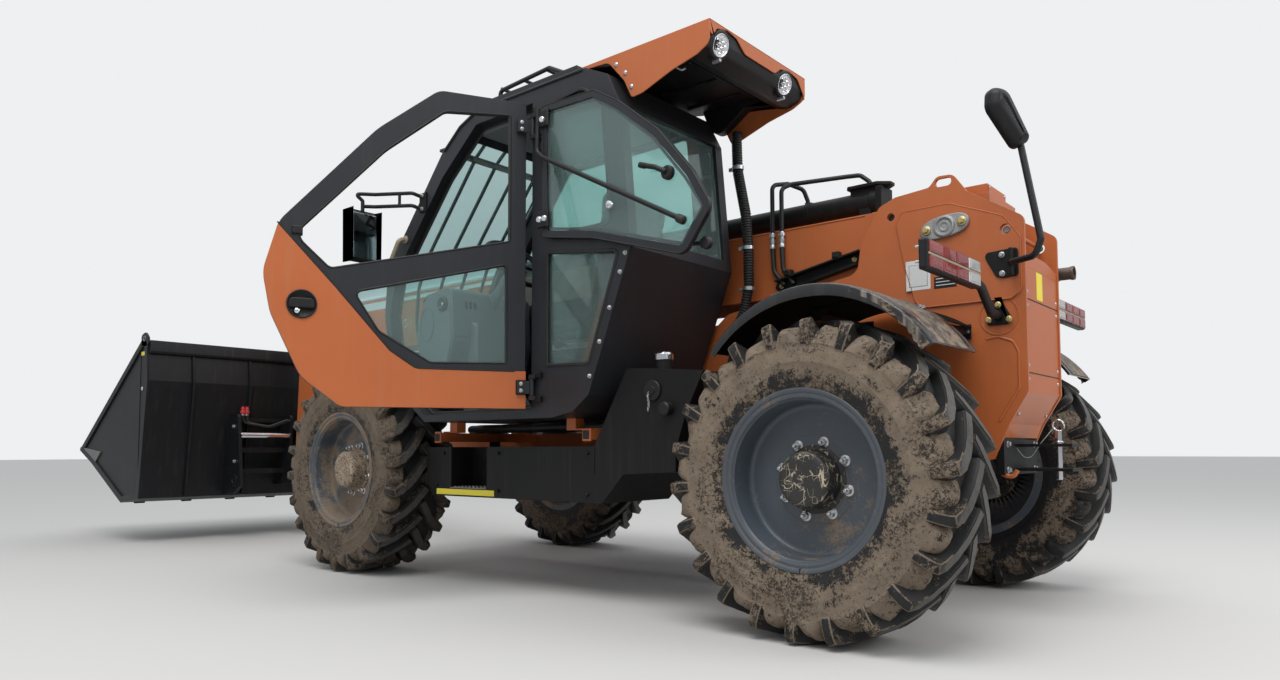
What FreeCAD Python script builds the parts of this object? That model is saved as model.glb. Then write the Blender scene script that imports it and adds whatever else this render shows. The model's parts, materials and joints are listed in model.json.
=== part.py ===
import FreeCAD, Part
import math
import os
from FreeCAD import Vector

# Compact telehandler with its cab on the left of a central telescopic boom.
# Millimetres. X forward from the rear axle, Y to the left of the centre plane, Z up from the floor.
# export() moves every piece so that the middle of the tow hitch becomes the origin.

# Driving dimensions: wheels and axles
wheelbase = 3050
track = 1800
tyre_radius = 595
tyre_half_width = 202.5
lug_height = 33
lugs_per_side = 22
lug_nose = 12
rim_seat_radius = 304.7
rim_flange_radius = 335
rim_half_width = 186
rim_wall = 10
disc_offset = 50
disc_thickness = 14
hub_radius = 105
hub_reach = 160
spindle_radius = 45
kingpin_offset = 80
knuckle_radius = 54
knuckle_half_height = 85
axle_tube_radius = 75
differential_radius = 160
running_gap = 0.3
open_gap = 6

# Driving dimensions: frame
frame_half_gap = 224
frame_plate = 16
doubler_plate = 8
rail_top = 800
rail_bottom = 480
axle_seat = 700
frame_overhang = 400
frame_front = wheelbase + frame_overhang
tower_rear = -555
boom_pivot = (-239, 1646)
boom_pin_radius = 45
rear_bore = (-484, 1597)
rear_bore_radius = 21.5
front_bore = (6, 1731)
front_bore_radius = 17.5
lug_hole = (-231, 1842)
lug_hole_radius = 18
lug_hole_length = 70

# Driving dimensions: boom
boom_half_width = 172
boom_bottom = 1445
boom_top = 1785
boom_wall = 12
boom_tail = -400
boom_nose = 3850
inner_clearance = 12
inner_nose = 4780
inner_tail = 1450
head_half_gap = 115
head_plate = 32
bucket_pivot = (5200, 520)
bucket_pin_radius = 32

# Driving dimensions: bucket and its carriage
bucket_half_width = 1220
bucket_side = 20
bucket_shell = 12
carriage_half_width = 600
carriage_plate = 25

# Driving dimensions: cab
cab_right = 275
cab_left = 1050
cab_wall = 45
cab_floor = 856
glass_thickness = 6
door_open_deg = 63
drawn_hinge_x = 1430
door_skin = 10
door_hinge_out = 16
hinge_pin_radius = 6
hinge_radius = 12
hinge_half = 40
roof_height = 2450
roof_thickness = 38

# Driving dimensions: side units
tank_inner = 460
tank_outer = 950
hood_inner = 290
hood_outer = 1060
hood_wall = 22
hood_top = 1430

# The middle of the tow hitch, which becomes the origin
hitch_x = -598
hitch_z = 670
origin = Vector(hitch_x, 0, hitch_z)

shapes = {}

# What stands between the axles is drawn for this wheelbase and this roof. Another wheelbase stretches it between
# the fixed rear part and the front tyre, and another roof stretches what is above the belt line.
drawn_wheelbase = 3050
drawn_roof = 2450
fixed_rear = 690
belt_line = 1300
drawn_bay = drawn_wheelbase - tyre_radius - fixed_rear
bay_scale = (wheelbase - tyre_radius - fixed_rear) / drawn_bay
upper_scale = (roof_height - belt_line) / (drawn_roof - belt_line)
corner_scale = min(1, bay_scale, upper_scale)


def fore(x):
    if x <= fixed_rear:
        return x
    if x >= drawn_wheelbase - tyre_radius:
        return x + wheelbase - drawn_wheelbase
    return fixed_rear + (x - fixed_rear) * bay_scale


def up(z):
    if z <= belt_line:
        return z
    return belt_line + (z - belt_line) * upper_scale


def fitted(points):
    # Outline of (x, z) or (x, z, radius) points, moved to the present wheelbase and roof
    return tuple((fore(p[0]), up(p[1])) + tuple(r * corner_scale for r in p[2:]) for p in points)


door_hinge_x = fore(drawn_hinge_x)


def from_hinge(points):
    # The same for an outline whose first numbers are distances from the door's hinge line
    moved = fitted([(p[0] + drawn_hinge_x,) + tuple(p[1:]) for p in points])
    return tuple((p[0] - door_hinge_x,) + tuple(p[1:]) for p in moved)


def bay(points):
    # The same for an outline that keeps its heights
    return tuple((fore(p[0]), p[1]) + tuple(r * corner_scale for r in p[2:]) for p in points)


# Basic shapes

def vec(x, y, z):
    return Vector(x, y, z)


def edges_of(points):
    # Closed outline in the XZ plane. A point is (x, z), or (x, z, radius) for a rounded corner.
    corners = []
    count = len(points)
    for i in range(count):
        here = points[i]
        p = vec(here[0], 0, here[1])
        if len(here) < 3:
            corners.append((p, p, p))
            continue
        before = points[i - 1]
        after = points[(i + 1) % count]
        a = (vec(before[0], 0, before[1]) - p).normalize()
        b = (vec(after[0], 0, after[1]) - p).normalize()
        half = a.getAngle(b) / 2
        reach = here[2] / math.tan(half)
        middle = (a + b).normalize() * (here[2] / math.sin(half))
        tip = p + middle - (a + b).normalize() * here[2]
        corners.append((p + a * reach, tip, p + b * reach))
    edges = []
    for i in range(count):
        start, tip, end = corners[i]
        if (start - end).Length > 0.01:
            edges.append(Part.Arc(start, tip, end).toShape())
        following = corners[(i + 1) % count][0]
        if (end - following).Length > 0.01:
            edges.append(Part.LineSegment(end, following).toShape())
    return edges


def plate_xz(points, y0, y1):
    face = Part.Face(Part.Wire(edges_of(points)))
    face.translate(vec(0, y0, 0))
    return face.extrude(vec(0, y1 - y0, 0))


def box(x0, x1, y0, y1, z0, z1):
    return Part.makeBox(x1 - x0, y1 - y0, z1 - z0, vec(x0, y0, z0))


def rod(p0, p1, radius):
    start = vec(*p0)
    way = vec(*p1) - start
    return Part.makeCylinder(radius, way.Length, start, way)


def ring(p0, p1, outer, inner):
    return rod(p0, p1, outer).cut(rod(p0, p1, inner))


def turned(profile, x, y, z, side):
    # Revolves a list of (radius, width) points about an axle; width counts outwards from the machine.
    line = [vec(x + r, y + side * w, z) for r, w in profile]
    face = Part.Face(Part.makePolygon(line + [line[0]]))
    return face.revolve(vec(x, y, z), vec(0, 1, 0), 360)


def pipe(points, radius, bend):
    # Round bar or tube along straight runs joined by arcs of one bend radius.
    spots = [vec(*p) for p in points]
    edges = []
    last = spots[0]
    for i in range(1, len(spots) - 1):
        a = (spots[i - 1] - spots[i]).normalize()
        b = (spots[i + 1] - spots[i]).normalize()
        half = a.getAngle(b) / 2
        reach = bend / math.tan(half)
        out = (a + b).normalize()
        tip = spots[i] + out * (bend / math.sin(half) - bend)
        start = spots[i] + a * reach
        end = spots[i] + b * reach
        edges.append(Part.LineSegment(last, start).toShape())
        edges.append(Part.Arc(start, tip, end).toShape())
        last = end
    edges.append(Part.LineSegment(last, spots[-1]).toShape())
    path = Part.Wire(edges)
    circle = Part.makeCircle(radius, spots[0], spots[1] - spots[0])
    return path.makePipeShell([Part.Wire([circle])], True, False)


def inset(points, depth):
    # Moves each side of a counter-clockwise XZ outline inwards by one depth. Round corners shrink with it.
    count = len(points)
    lines = []
    for i in range(count):
        x0, z0 = points[i][0], points[i][1]
        x1, z1 = points[(i + 1) % count][0], points[(i + 1) % count][1]
        length = math.hypot(x1 - x0, z1 - z0)
        nx, nz = -(z1 - z0) / length, (x1 - x0) / length
        lines.append((nx, nz, nx * x0 + nz * z0 + depth))
    result = []
    for i in range(count):
        a, b, c = lines[i - 1]
        d, e, f = lines[i]
        det = a * e - b * d
        spot = ((c * e - b * f) / det, (a * f - c * d) / det)
        if len(points[i]) > 2 and points[i][2] > depth:
            spot = spot + (points[i][2] - depth,)
        result.append(spot)
    return result


def mirrored(shape):
    return shape.mirror(vec(0, 0, 0), vec(0, 1, 0))


def turn(shape, centre, axis, degrees):
    copy = shape.copy()
    copy.rotate(centre, axis, degrees)
    return copy


def joined(first, *others):
    return first.fuse(list(others)).removeSplitter()


def group(*pieces):
    solids = []
    for piece in pieces:
        solids.extend(piece.Solids)
    return Part.makeCompound(solids)


# Wheels: name, axle position, side
wheels = (
    ("fl", wheelbase, 1),
    ("fr", wheelbase, -1),
    ("rl", 0, 1),
    ("rr", 0, -1),
)
half_track = track / 2
kingpin_y = half_track - kingpin_offset

# Tyre sections on one side, from the bore out: radius, width, degrees that the lug leads by
bead_half_width = 165
bore_radius = (rim_seat_radius + running_gap) / math.cos(math.pi / lugs_per_side)
wall_section = (400, tyre_half_width - 3, 0)
foot_section = (470, tyre_half_width, 0)
gap_sections = (
    (tyre_radius - 47, 184, 0.5),
    (tyre_radius - lug_height, lug_nose, 16.6),
)
lug_sections = (
    (tyre_radius - 59, tyre_half_width, 0),
    (tyre_radius - 13, 195, 0.4),
    (tyre_radius - 2, 166, 1.6),
    (tyre_radius, lug_nose, 16.6),
)
lug_base_half = 3.3
lug_top_half = 2.4
rim_flange = 8


def tyre(x, side):
    # Faceted carcass with slanting lugs. Left and right rows stand half a step apart and lead over the top.
    # A quarter of a step puts the floor between two lugs, so that both rows meet it alike.
    step = 360 / lugs_per_side
    points = []
    facets = []

    def corner(radius, width, degrees):
        angle = math.radians(degrees)
        points.append(vec(x + radius * math.cos(angle), side * half_track + width,
                          tyre_radius + radius * math.sin(angle)))
        return len(points) - 1

    def strip(a, b):
        # Two triangles between two edges that run the same way
        facets.append((a[0], a[1], b[1]))
        facets.append((a[0], b[1], b[0]))

    bores = {}
    noses = {}
    for row in (1, -1):
        start = -90 + row * step / 4
        bore = []
        nose = []
        lines = []
        for k in range(lugs_per_side):
            middle = start + k * step
            bore.append(corner(bore_radius, row * bead_half_width, middle + step / 2))
            for edge in (-1, 1):
                line = []
                for r, w, lead in (wall_section, foot_section) + gap_sections:
                    line.append(corner(r, row * w, middle - lead + edge * lug_base_half))
                tops = [corner(r, row * w, middle - lead + edge * lug_top_half) for r, w, lead in lug_sections]
                lines.append((line, tops))
                nose.append(line[-1])
        for k in range(lugs_per_side):
            rear, rear_tops = lines[2 * k]
            ahead, ahead_tops = lines[2 * k + 1]
            following = lines[(2 * k + 2) % len(lines)][0]
            facets.append((bore[k - 1], rear[0], ahead[0]))
            facets.append((bore[k - 1], ahead[0], bore[k]))
            facets.append((bore[k], ahead[0], following[0]))
            strip((rear[0], ahead[0]), (rear[1], ahead[1]))
            for i in range(3):
                strip((ahead[i], following[i]), (ahead[i + 1], following[i + 1]))
            strip((rear[1], ahead[1]), (rear_tops[0], ahead_tops[0]))
            for i in range(3):
                strip((rear_tops[i], ahead_tops[i]), (rear_tops[i + 1], ahead_tops[i + 1]))
            strip((rear_tops[3], ahead_tops[3]), (rear[3], ahead[3]))
            for line, tops in ((rear, rear_tops), (ahead, ahead_tops)):
                foot, shoulder, base = line[1:]
                facets.append((foot, tops[0], shoulder))
                facets.append((tops[0], tops[1], shoulder))
                facets.append((tops[1], tops[2], shoulder))
                facets.append((tops[2], tops[3], shoulder))
                facets.append((tops[3], base, shoulder))
        bores[row] = bore
        noses[row] = nose
    left, right = bores[1], bores[-1]
    for k in range(lugs_per_side):
        strip((left[k - 1], left[k]), (right[k - 1], right[k]))
    left, right = noses[1], noses[-1]
    count = len(left)
    for i in range(count):
        facets.append((left[i - 1], left[i], right[i]))
        facets.append((left[i], right[i], right[(i + 1) % count]))
    shell = Part.Shape()
    shell.makeShapeFromMesh((points, facets), 0.01)
    solid = Part.makeSolid(shell)
    if solid.Volume < 0:
        solid.reverse()
    return solid.removeSplitter()


def rim(x, side):
    inside = rim_seat_radius - rim_wall
    flange = rim_half_width - rim_flange
    profile = (
        (hub_radius - 5, disc_offset),
        (inside, disc_offset),
        (inside, -rim_half_width),
        (rim_flange_radius, -rim_half_width),
        (rim_flange_radius, -flange),
        (rim_seat_radius, -flange),
        (rim_seat_radius, flange),
        (rim_flange_radius, flange),
        (rim_flange_radius, rim_half_width),
        (inside, rim_half_width),
        (inside, disc_offset + disc_thickness),
        (hub_radius - 5, disc_offset + disc_thickness),
    )
    hub_start = knuckle_radius + 11 - kingpin_offset
    bore = spindle_radius + running_gap
    hub = (
        (bore, hub_start),
        (hub_radius, hub_start),
        (hub_radius, disc_offset - 14),
        (hub_radius + 60, disc_offset - 14),
        (hub_radius + 60, disc_offset),
        (hub_radius, disc_offset),
        (hub_radius, hub_reach - 12),
        (hub_radius - 12, hub_reach),
        (0, hub_reach),
        (0, disc_offset + 12),
        (bore, disc_offset + 12),
    )
    y = side * half_track
    return joined(turned(profile, x, y, tyre_radius, side), turned(hub, x, y, tyre_radius, side))


def knuckle(x, side):
    y = side * kingpin_y
    low = tyre_radius - knuckle_half_height
    high = tyre_radius + knuckle_half_height
    post = rod((x, y, low), (x, y, high), knuckle_radius)
    hub_face = y + side * (knuckle_radius + 11 - running_gap)
    shoulder = rod((x, y, tyre_radius), (x, hub_face, tyre_radius), 78)
    spindle_end = side * (half_track + disc_offset + 10)
    spindle = rod((x, y, tyre_radius), (x, spindle_end, tyre_radius), spindle_radius)
    pin = rod((x, y, low - 28), (x, y, high + 28), 20)
    return joined(post, shoulder, spindle, pin)


def axle(x):
    lug_low = tyre_radius - knuckle_half_height - running_gap
    lug_high = tyre_radius + knuckle_half_height + running_gap
    lug = 30
    web_in = kingpin_y - knuckle_radius - open_gap - 65
    beam = rod((x, -web_in - 10, tyre_radius), (x, web_in + 10, tyre_radius), axle_tube_radius)
    bulge = Part.makeSphere(differential_radius, vec(x, 0, tyre_radius))
    parts = [bulge]
    for side in (1, -1):
        y = side * kingpin_y
        y0 = side * web_in
        y1 = side * (web_in + 65)
        low_y, high_y = min(y0, y1), max(y0, y1)
        parts.append(box(x - 58, x + 58, low_y, high_y, lug_low - lug, lug_high + lug))
        for z0, z1 in ((lug_low - lug, lug_low), (lug_high, lug_high + lug)):
            arm = box(x - 58, x + 58, min(y0, y), max(y0, y), z0, z1)
            eye = rod((x, y, z0), (x, y, z1), 58)
            parts.append(arm.fuse(eye))
        seat_y = side * (frame_half_gap + frame_plate / 2)
        parts.append(box(x - 110, x + 110, seat_y - 20, seat_y + 20, tyre_radius, axle_seat))
    shape = joined(beam, *parts)
    for side in (1, -1):
        y = side * kingpin_y
        bore = rod((x, y, lug_low - 40), (x, y, lug_high + 40), 20 + running_gap)
        shape = shape.cut(bore)
    return shape


for tag, axle_x, wheel_side in wheels:
    shapes["tyre_" + tag] = tyre(axle_x, wheel_side)
    shapes["rim_" + tag] = rim(axle_x, wheel_side)
    shapes["knuckle_" + tag] = knuckle(axle_x, wheel_side)
shapes["axle_front"] = axle(wheelbase)
shapes["axle_rear"] = axle(0)

# Frame plates
px, pz = boom_pivot
tower_outline = (
    (-415, 665),
    (-300, 640),
    (-200, axle_seat),
    (250, axle_seat),
    (350, rail_bottom),
    (wheelbase - 240, rail_bottom),
    (wheelbase - 180, axle_seat),
    (wheelbase + 190, axle_seat),
    (wheelbase + 220, 600),
    (frame_front, 600),
    (frame_front, rail_top),
    (1180, rail_top),
    (1060, 1240, 80),
    (880, 1385, 80),
    (170, 1500, 60),
    (150, 1640, 90),
    (59, 1785, 30),
    (-16, 1816),
    (-169, 1830, 30),
    (-204, 1872, 30),
    (-272, 1868, 35),
    (-329, 1786, 20),
    (-478, 1690, 60),
    (tower_rear, 1640, 40),
    (tower_rear, 934, 30),
    (-480, 810),
)
doubler_outline = (
    (-110, 1310, 60),
    (-60, 1480, 60),
    (-20, 1690),
    (-47, 1744, 20),
    (-257, 1746, 60),
    (-478, 1655, 60),
    (tower_rear + 12, 1560, 40),
    (tower_rear + 12, 1340, 40),
    (-500, 1310, 20),
)


def frame_plate_left():
    inner = frame_half_gap
    outer = inner + frame_plate
    plate = plate_xz(tower_outline, inner, outer)
    doubler = plate_xz(doubler_outline, outer, outer + doubler_plate)
    plate = joined(plate, doubler)
    far = outer + doubler_plate + 1
    holes = (
        (boom_pivot, boom_pin_radius + running_gap),
        (rear_bore, rear_bore_radius),
        (front_bore, front_bore_radius),
    )
    for (x, z), radius in holes:
        plate = plate.cut(rod((x, inner - 1, z), (x, far, z), radius))
    x, z = lug_hole
    half = lug_hole_length / 2 - lug_hole_radius
    slot = box(x - half, x + half, inner - 1, far, z - lug_hole_radius, z + lug_hole_radius)
    for end in (x - half, x + half):
        slot = slot.fuse(rod((end, inner - 1, z), (end, far, z), lug_hole_radius))
    return plate.cut(slot)


shapes["frame_left"] = frame_plate_left()
shapes["frame_right"] = mirrored(shapes["frame_left"])

# Outriggers that carry the cab, the tank and the engine unit: position along the machine
outriggers = (fore(1193), fore(2306))
cab_mounts = (fore(1345), fore(2240))
mount_shelf = 8
outrigger_size = 48
outrigger_top = rail_top
outrigger_reach = 940
mount_size = 60

# Cross pieces between the plates: x0, x1, z0, z1
cross_pieces = (
    (frame_front - 60, frame_front, 600, rail_top),
    (wheelbase - 570, wheelbase - 490, 500, 640),
    (900, 960, 490, 560),
    (-120, 120, 770, 830),
    (-420, -330, 700, 800),
)


def cross_frame():
    pieces = []
    inner = frame_half_gap
    for x0, x1, z0, z1 in cross_pieces:
        pieces.append(box(x0, x1, -inner, inner, z0, z1))
    outer = inner + frame_plate
    half = outrigger_size / 2
    for x, mount_x in zip(outriggers, cab_mounts):
        for side in (1, -1):
            y0, y1 = sorted((side * outer, side * outrigger_reach))
            z0 = outrigger_top - outrigger_size
            beam = box(x - half, x + half, y0, y1, z0, outrigger_top)
            hollow = box(x - half + 6, x + half + 1, y0 - 1, y1 + 1, z0 + 6, outrigger_top - 6)
            beam = beam.cut(hollow)
            if side > 0:
                for y in (cab_right + 90, cab_left - 190):
                    y_low = y - mount_size / 2
                    x_low, x_high = sorted((x - half, mount_x - mount_size / 2))
                    x_high = max(x + half, mount_x + mount_size / 2)
                    shelf = box(x_low, x_high, y_low, y_low + mount_size,
                                outrigger_top, outrigger_top + mount_shelf)
                    rubber = box(mount_x - mount_size / 2, mount_x + mount_size / 2,
                                 y_low, y_low + mount_size, outrigger_top, cab_floor)
                    beam = beam.fuse([rubber, shelf])
            pieces.append(beam)
    lift_pin = rod((lift_base[0], -inner, lift_base[1]), (lift_base[0], inner, lift_base[1]),
                   lift_pin_radius)
    pieces.append(lift_pin)
    return group(*pieces)


# Lift cylinder under the boom: base pin on the frame, rod pin under the boom
lift_base = (560, 620)
lift_head = (1950, 1350)
lift_pin_radius = 28
lift_barrel_radius = 60
lift_rod_radius = 35
lift_barrel_length = 1370
lift_eye_half = 45
lift_bore = 45
eye_radius = 48


def along(p, q, distance):
    length = math.hypot(q[0] - p[0], q[1] - p[1])
    return (p[0] + (q[0] - p[0]) * distance / length, p[1] + (q[1] - p[1]) * distance / length)


def span(p, q):
    return math.hypot(q[0] - p[0], q[1] - p[1])


def cylinder_barrel(base, head, length, radius, bore, pin_radius, half_width):
    # Barrel with an eye at its base that turns on a pin, and a bore for its rod.
    start = along(base, head, eye_radius - 8)
    end = along(base, head, length)
    bottom = along(base, head, eye_radius + 40)
    tube = rod((start[0], 0, start[1]), (end[0], 0, end[1]), radius)
    hollow = rod((bottom[0], 0, bottom[1]), (end[0], 0, end[1]), bore)
    eye = rod((base[0], -half_width, base[1]), (base[0], half_width, base[1]), eye_radius)
    pin = rod((base[0], -half_width - 1, base[1]), (base[0], half_width + 1, base[1]),
              pin_radius + running_gap)
    return joined(tube, eye).cut(hollow).cut(pin)


def cylinder_rod(base, head, inside, radius, bore, half_width):
    # Rod with a piston in the barrel and an eye at its head.
    start = along(base, head, inside)
    piston_end = along(base, head, inside + 50)
    bar = rod((start[0], 0, start[1]), (head[0], 0, head[1]), radius)
    piston = rod((start[0], 0, start[1]), (piston_end[0], 0, piston_end[1]), bore - running_gap)
    eye = rod((head[0], -half_width, head[1]), (head[0], half_width, head[1]), eye_radius)
    return joined(bar, piston, eye)


shapes["frame_cross"] = cross_frame()
shapes["lift_barrel"] = cylinder_barrel(lift_base, lift_head, lift_barrel_length, lift_barrel_radius,
                                        lift_bore, lift_pin_radius, lift_eye_half)
lift_rod_inside = span(lift_base, lift_head) - lift_barrel_length + 40
shapes["lift_rod"] = cylinder_rod(lift_base, lift_head, lift_rod_inside, lift_rod_radius,
                                  lift_bore, lift_eye_half)

# Boom pin with its two cover castings
casting_half_length = 100
casting_half_height = 58
casting_thickness = 14


def boom_pin():
    x, z = boom_pivot
    face = frame_half_gap + frame_plate + doubler_plate
    end = face + casting_thickness
    shaft = rod((x, -end, z), (x, end, z), boom_pin_radius)
    parts = []
    for side in (1, -1):
        y0, y1 = sorted((side * face, side * end))
        plate = rod((x, y0, z), (x, y1, z), casting_half_height)
        for dx in (-casting_half_length + 24, casting_half_length - 24):
            plate = plate.fuse(rod((x + dx, y0, z), (x + dx, y1, z), 26))
        reach = casting_half_length - 24
        plate = plate.fuse(box(x - reach, x + reach, y0, y1, z - 26, z + 26))
        parts.append(plate)
    return joined(shaft, *parts)


shapes["boom_pin"] = boom_pin()

# Boom: outer box with its pivot boss, tail cover, lift lugs and extension cylinder
tail_cover = (-375, -240, 118, 52)
lug_inner = lift_eye_half + 5
lug_plate = 22
extend_z = boom_top + 100
extend_barrel_radius = 55
extend_bore = 30
extend_rod_radius = 24
extend_start = 150
extend_end = 2750
extend_rod_tail = 1550
extend_bracket_x = 4765


def boom_outer():
    half = boom_half_width
    outer = box(boom_tail, boom_nose, -half, half, boom_bottom, boom_top)
    hollow = box(inner_tail - 950, boom_nose + 1, -half + boom_wall, half - boom_wall,
                 boom_bottom + boom_wall, boom_top - boom_wall)
    x, z = boom_pivot
    boss = rod((x, -frame_half_gap + open_gap, z), (x, frame_half_gap - open_gap, z), 85)
    bore = rod((x, -frame_half_gap, z), (x, frame_half_gap, z), boom_pin_radius + running_gap)
    x0, x1, half_cover, height = tail_cover
    cover = box(x0, x1, -half_cover, half_cover, boom_top, boom_top + height)
    shape = joined(outer, boss, cover).cut(hollow).cut(bore)
    lug = plate_xz(((lift_head[0] - 130, boom_bottom), (lift_head[0] - 45, lift_head[1] - 55, 40),
                    (lift_head[0] + 55, lift_head[1] - 55, 40), (lift_head[0] + 130, boom_bottom)),
                   lug_inner, lug_inner + lug_plate)
    pads = []
    inner = half - boom_wall
    depth = inner_clearance - running_gap
    for side in (1, -1):
        y0, y1 = sorted((side * inner, side * (inner - depth)))
        pads.append(box(boom_nose - 150, boom_nose - 10, y0, y1, 1560, 1670))
    low = boom_bottom + boom_wall
    high = boom_top - boom_wall
    pads.append(box(boom_nose - 150, boom_nose - 10, -90, 90, low, low + depth))
    pads.append(box(boom_nose - 150, boom_nose - 10, -90, 90, high - depth, high))
    return group(joined(shape, *pads), lug, mirrored(lug))


def boom_inner():
    half = boom_half_width - boom_wall - inner_clearance
    low = boom_bottom + boom_wall + inner_clearance
    high = boom_top - boom_wall - inner_clearance
    tube = box(inner_tail, inner_nose, -half, half, low, high)
    wall = 10
    hollow = box(inner_tail - 1, inner_nose + 1, -half + wall, half - wall, low + wall, high - wall)
    tube = tube.cut(hollow)
    px_, pz_ = bucket_pivot
    outline = (
        (inner_nose, high),
        (inner_nose, low),
        (4900, 1300, 60),
        (4960, 640, 60),
        (px_ - 130, pz_ + 10, 40),
        (px_ - 50, pz_ - 75, 50),
        (px_ + 75, pz_ - 50, 50),
        (px_ + 82, pz_ + 120, 60),
        (5230, 1500, 120),
        (5080, high, 80),
    )
    head = plate_xz(outline, head_half_gap, head_half_gap + head_plate)
    head = joined(head, mirrored(head))
    caps = joined(box(inner_nose, inner_nose + 25, -half, half, low, high),
                  box(5000, 5060, -head_half_gap, head_half_gap, high - 20, high),
                  box(4960, 5010, -head_half_gap, head_half_gap, 700, 800))
    bore = rod((px_, -half - 50, pz_), (px_, half + 50, pz_), bucket_pin_radius + running_gap)
    tilt_pin = rod((tilt_base[0], -head_half_gap - 1, tilt_base[1]),
                   (tilt_base[0], head_half_gap + 1, tilt_base[1]), tilt_pin_radius)
    return joined(tube, caps, head, tilt_pin).cut(bore)


# Tilt cylinder inside the boom head: base pin on the head, rod pin on the carriage
tilt_base = (4990, 1500)
tilt_head = (5370, 860)
tilt_barrel_length = 600
tilt_barrel_radius = 52
tilt_rod_radius = 28
tilt_bore = 38
tilt_eye_half = 40
tilt_pin_radius = 25

shapes["boom_outer"] = boom_outer()
shapes["boom_inner"] = boom_inner()
shapes["tilt_barrel"] = cylinder_barrel(tilt_base, tilt_head, tilt_barrel_length, tilt_barrel_radius,
                                        tilt_bore, tilt_pin_radius, tilt_eye_half)
tilt_rod_inside = span(tilt_base, tilt_head) - tilt_barrel_length + 60
shapes["tilt_rod"] = cylinder_rod(tilt_base, tilt_head, tilt_rod_inside, tilt_rod_radius,
                                  tilt_bore, tilt_eye_half)


def extend_barrel():
    tube = rod((extend_start, 0, extend_z), (extend_end, 0, extend_z), extend_barrel_radius)
    hollow = rod((extend_start + 60, 0, extend_z), (extend_end, 0, extend_z), extend_bore)
    feet = []
    for x in (extend_start + 40, extend_end - 80):
        feet.append(box(x, x + 60, -45, 45, boom_top, extend_z))
    end_plate = box(extend_start - 20, extend_start + 10, -62, 62, extend_z - 60, extend_z + 60)
    return joined(tube, end_plate, *feet).cut(hollow)


def extend_rod():
    bar = rod((extend_rod_tail, 0, extend_z), (extend_bracket_x + 30, 0, extend_z), extend_rod_radius)
    piston = rod((extend_rod_tail, 0, extend_z), (extend_rod_tail + 60, 0, extend_z),
                 extend_bore - running_gap)
    top = boom_top - boom_wall - inner_clearance
    foot = box(extend_bracket_x, extend_bracket_x + 60, -40, 40, top, extend_z + 40)
    return joined(bar, piston, foot)


shapes["extend_barrel"] = extend_barrel()
shapes["extend_rod"] = extend_rod()

# Hoses on the boom's left side, with the bracket that guides them
hose_radius = 11
hose_y = boom_half_width + 22


def boom_hoses():
    bracket = plate_xz(((176, 1600), (190, 1535), (600, 1440), (640, 1505)),
                       boom_half_width, boom_half_width + 12)
    pieces = [bracket]
    for x, high, back in ((640, 2030, 250), (590, 1990, 470)):
        pieces.append(pipe(((x - 30, hose_y, 1500), (x, hose_y, 1650), (x, hose_y, high),
                            (x - 70, 40, high + 10), (back, 0, high),
                            (back - 45, 0, high - 25),
                            (back - 45, 0, extend_z + extend_barrel_radius + running_gap)),
                           hose_radius, 20))
    saddle = box(575, 660, boom_half_width, hose_y + 14, 1690, 1720)
    return joined(*pieces, saddle)


shapes["boom_hoses"] = boom_hoses()

# Carriage behind the bucket
back_top = (5507, 1536)
back_fold = (5478, 1240)
back_low = (5591, 345)
floor_start = (5937, 303)
floor_front = (6592, 608)
floor_tip = (6869, 714)
lip_top = (5604, 1554)
carriage_back = 5290


def back_x(z):
    # Rear face of the bucket's back plate at one height
    share = (back_fold[1] - z) / (back_fold[1] - back_low[1])
    return back_fold[0] + share * (back_low[0] - back_fold[0])


# Bars across the carriage: x0, x1, z0, z1
carriage_bars = (
    (5400, 5440, 690, 730),
    (5420, 5460, 520, 560),
    (5440, 5500, 940, 970),
)
grab_bar = (5345, 830)
grab_bar_radius = 22


def carriage():
    top = 1000
    outline = (
        (carriage_back, 430, 30),
        (carriage_back + 120, 360),
        (back_x(360), 360),
        (back_x(top), top),
        (carriage_back + 60, top, 30),
    )
    web = plate_xz(outline, carriage_half_width - carriage_plate, carriage_half_width)
    px_, pz_ = bucket_pivot
    inner_y = head_half_gap + head_plate + open_gap
    inner_outline = (
        (px_ - 60, pz_ - 60, 50),
        (px_ + 60, pz_ - 80),
        (back_x(420), 420),
        (back_x(top), top),
        (tilt_head[0] - 60, top, 40),
        (tilt_head[0] - 50, 700, 60),
        (px_ - 60, pz_ + 60, 50),
    )
    inner = plate_xz(inner_outline, inner_y, inner_y + 22)
    tilt_lug = plate_xz(((tilt_head[0] - 45, 800, 30), (back_x(760), 760), (back_x(960), 960),
                         (tilt_head[0] - 45, 930, 30)), tilt_eye_half + 5, tilt_eye_half + 25)
    reach = carriage_half_width - 5
    x, z = grab_bar
    bars = [rod((x, side * (inner_y + 5), z), (x, side * reach, z), grab_bar_radius) for side in (1, -1)]
    for x0, x1, z0, z1 in carriage_bars:
        bars.append(box(x0, x1, -reach, reach, z0, z1))
    pin = rod((px_, -inner_y - 22, pz_), (px_, inner_y + 22, pz_), bucket_pin_radius)
    return joined(web, mirrored(web), inner, mirrored(inner), tilt_lug, mirrored(tilt_lug), pin,
                  *bars)


def bucket():
    side_outline = (back_low, floor_start, floor_front, floor_tip, lip_top, back_top, back_fold)
    outer = plate_xz(side_outline, -bucket_half_width, bucket_half_width)
    inside = inset(side_outline, bucket_shell)
    # The open face runs from the tip to the lip, so the hollow goes on past it
    ax, az = inside[3]
    bx, bz = inside[4]
    out_x, out_z = 400, 600
    hollow_outline = inside[:4] + [(ax + out_x, az + out_z), (bx + out_x, bz + out_z)] + inside[4:]
    limit = bucket_half_width - bucket_side
    hollow = plate_xz(hollow_outline, -limit, limit)
    return outer.cut(hollow)


shapes["carriage"] = carriage()
shapes["bucket"] = bucket()

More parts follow.
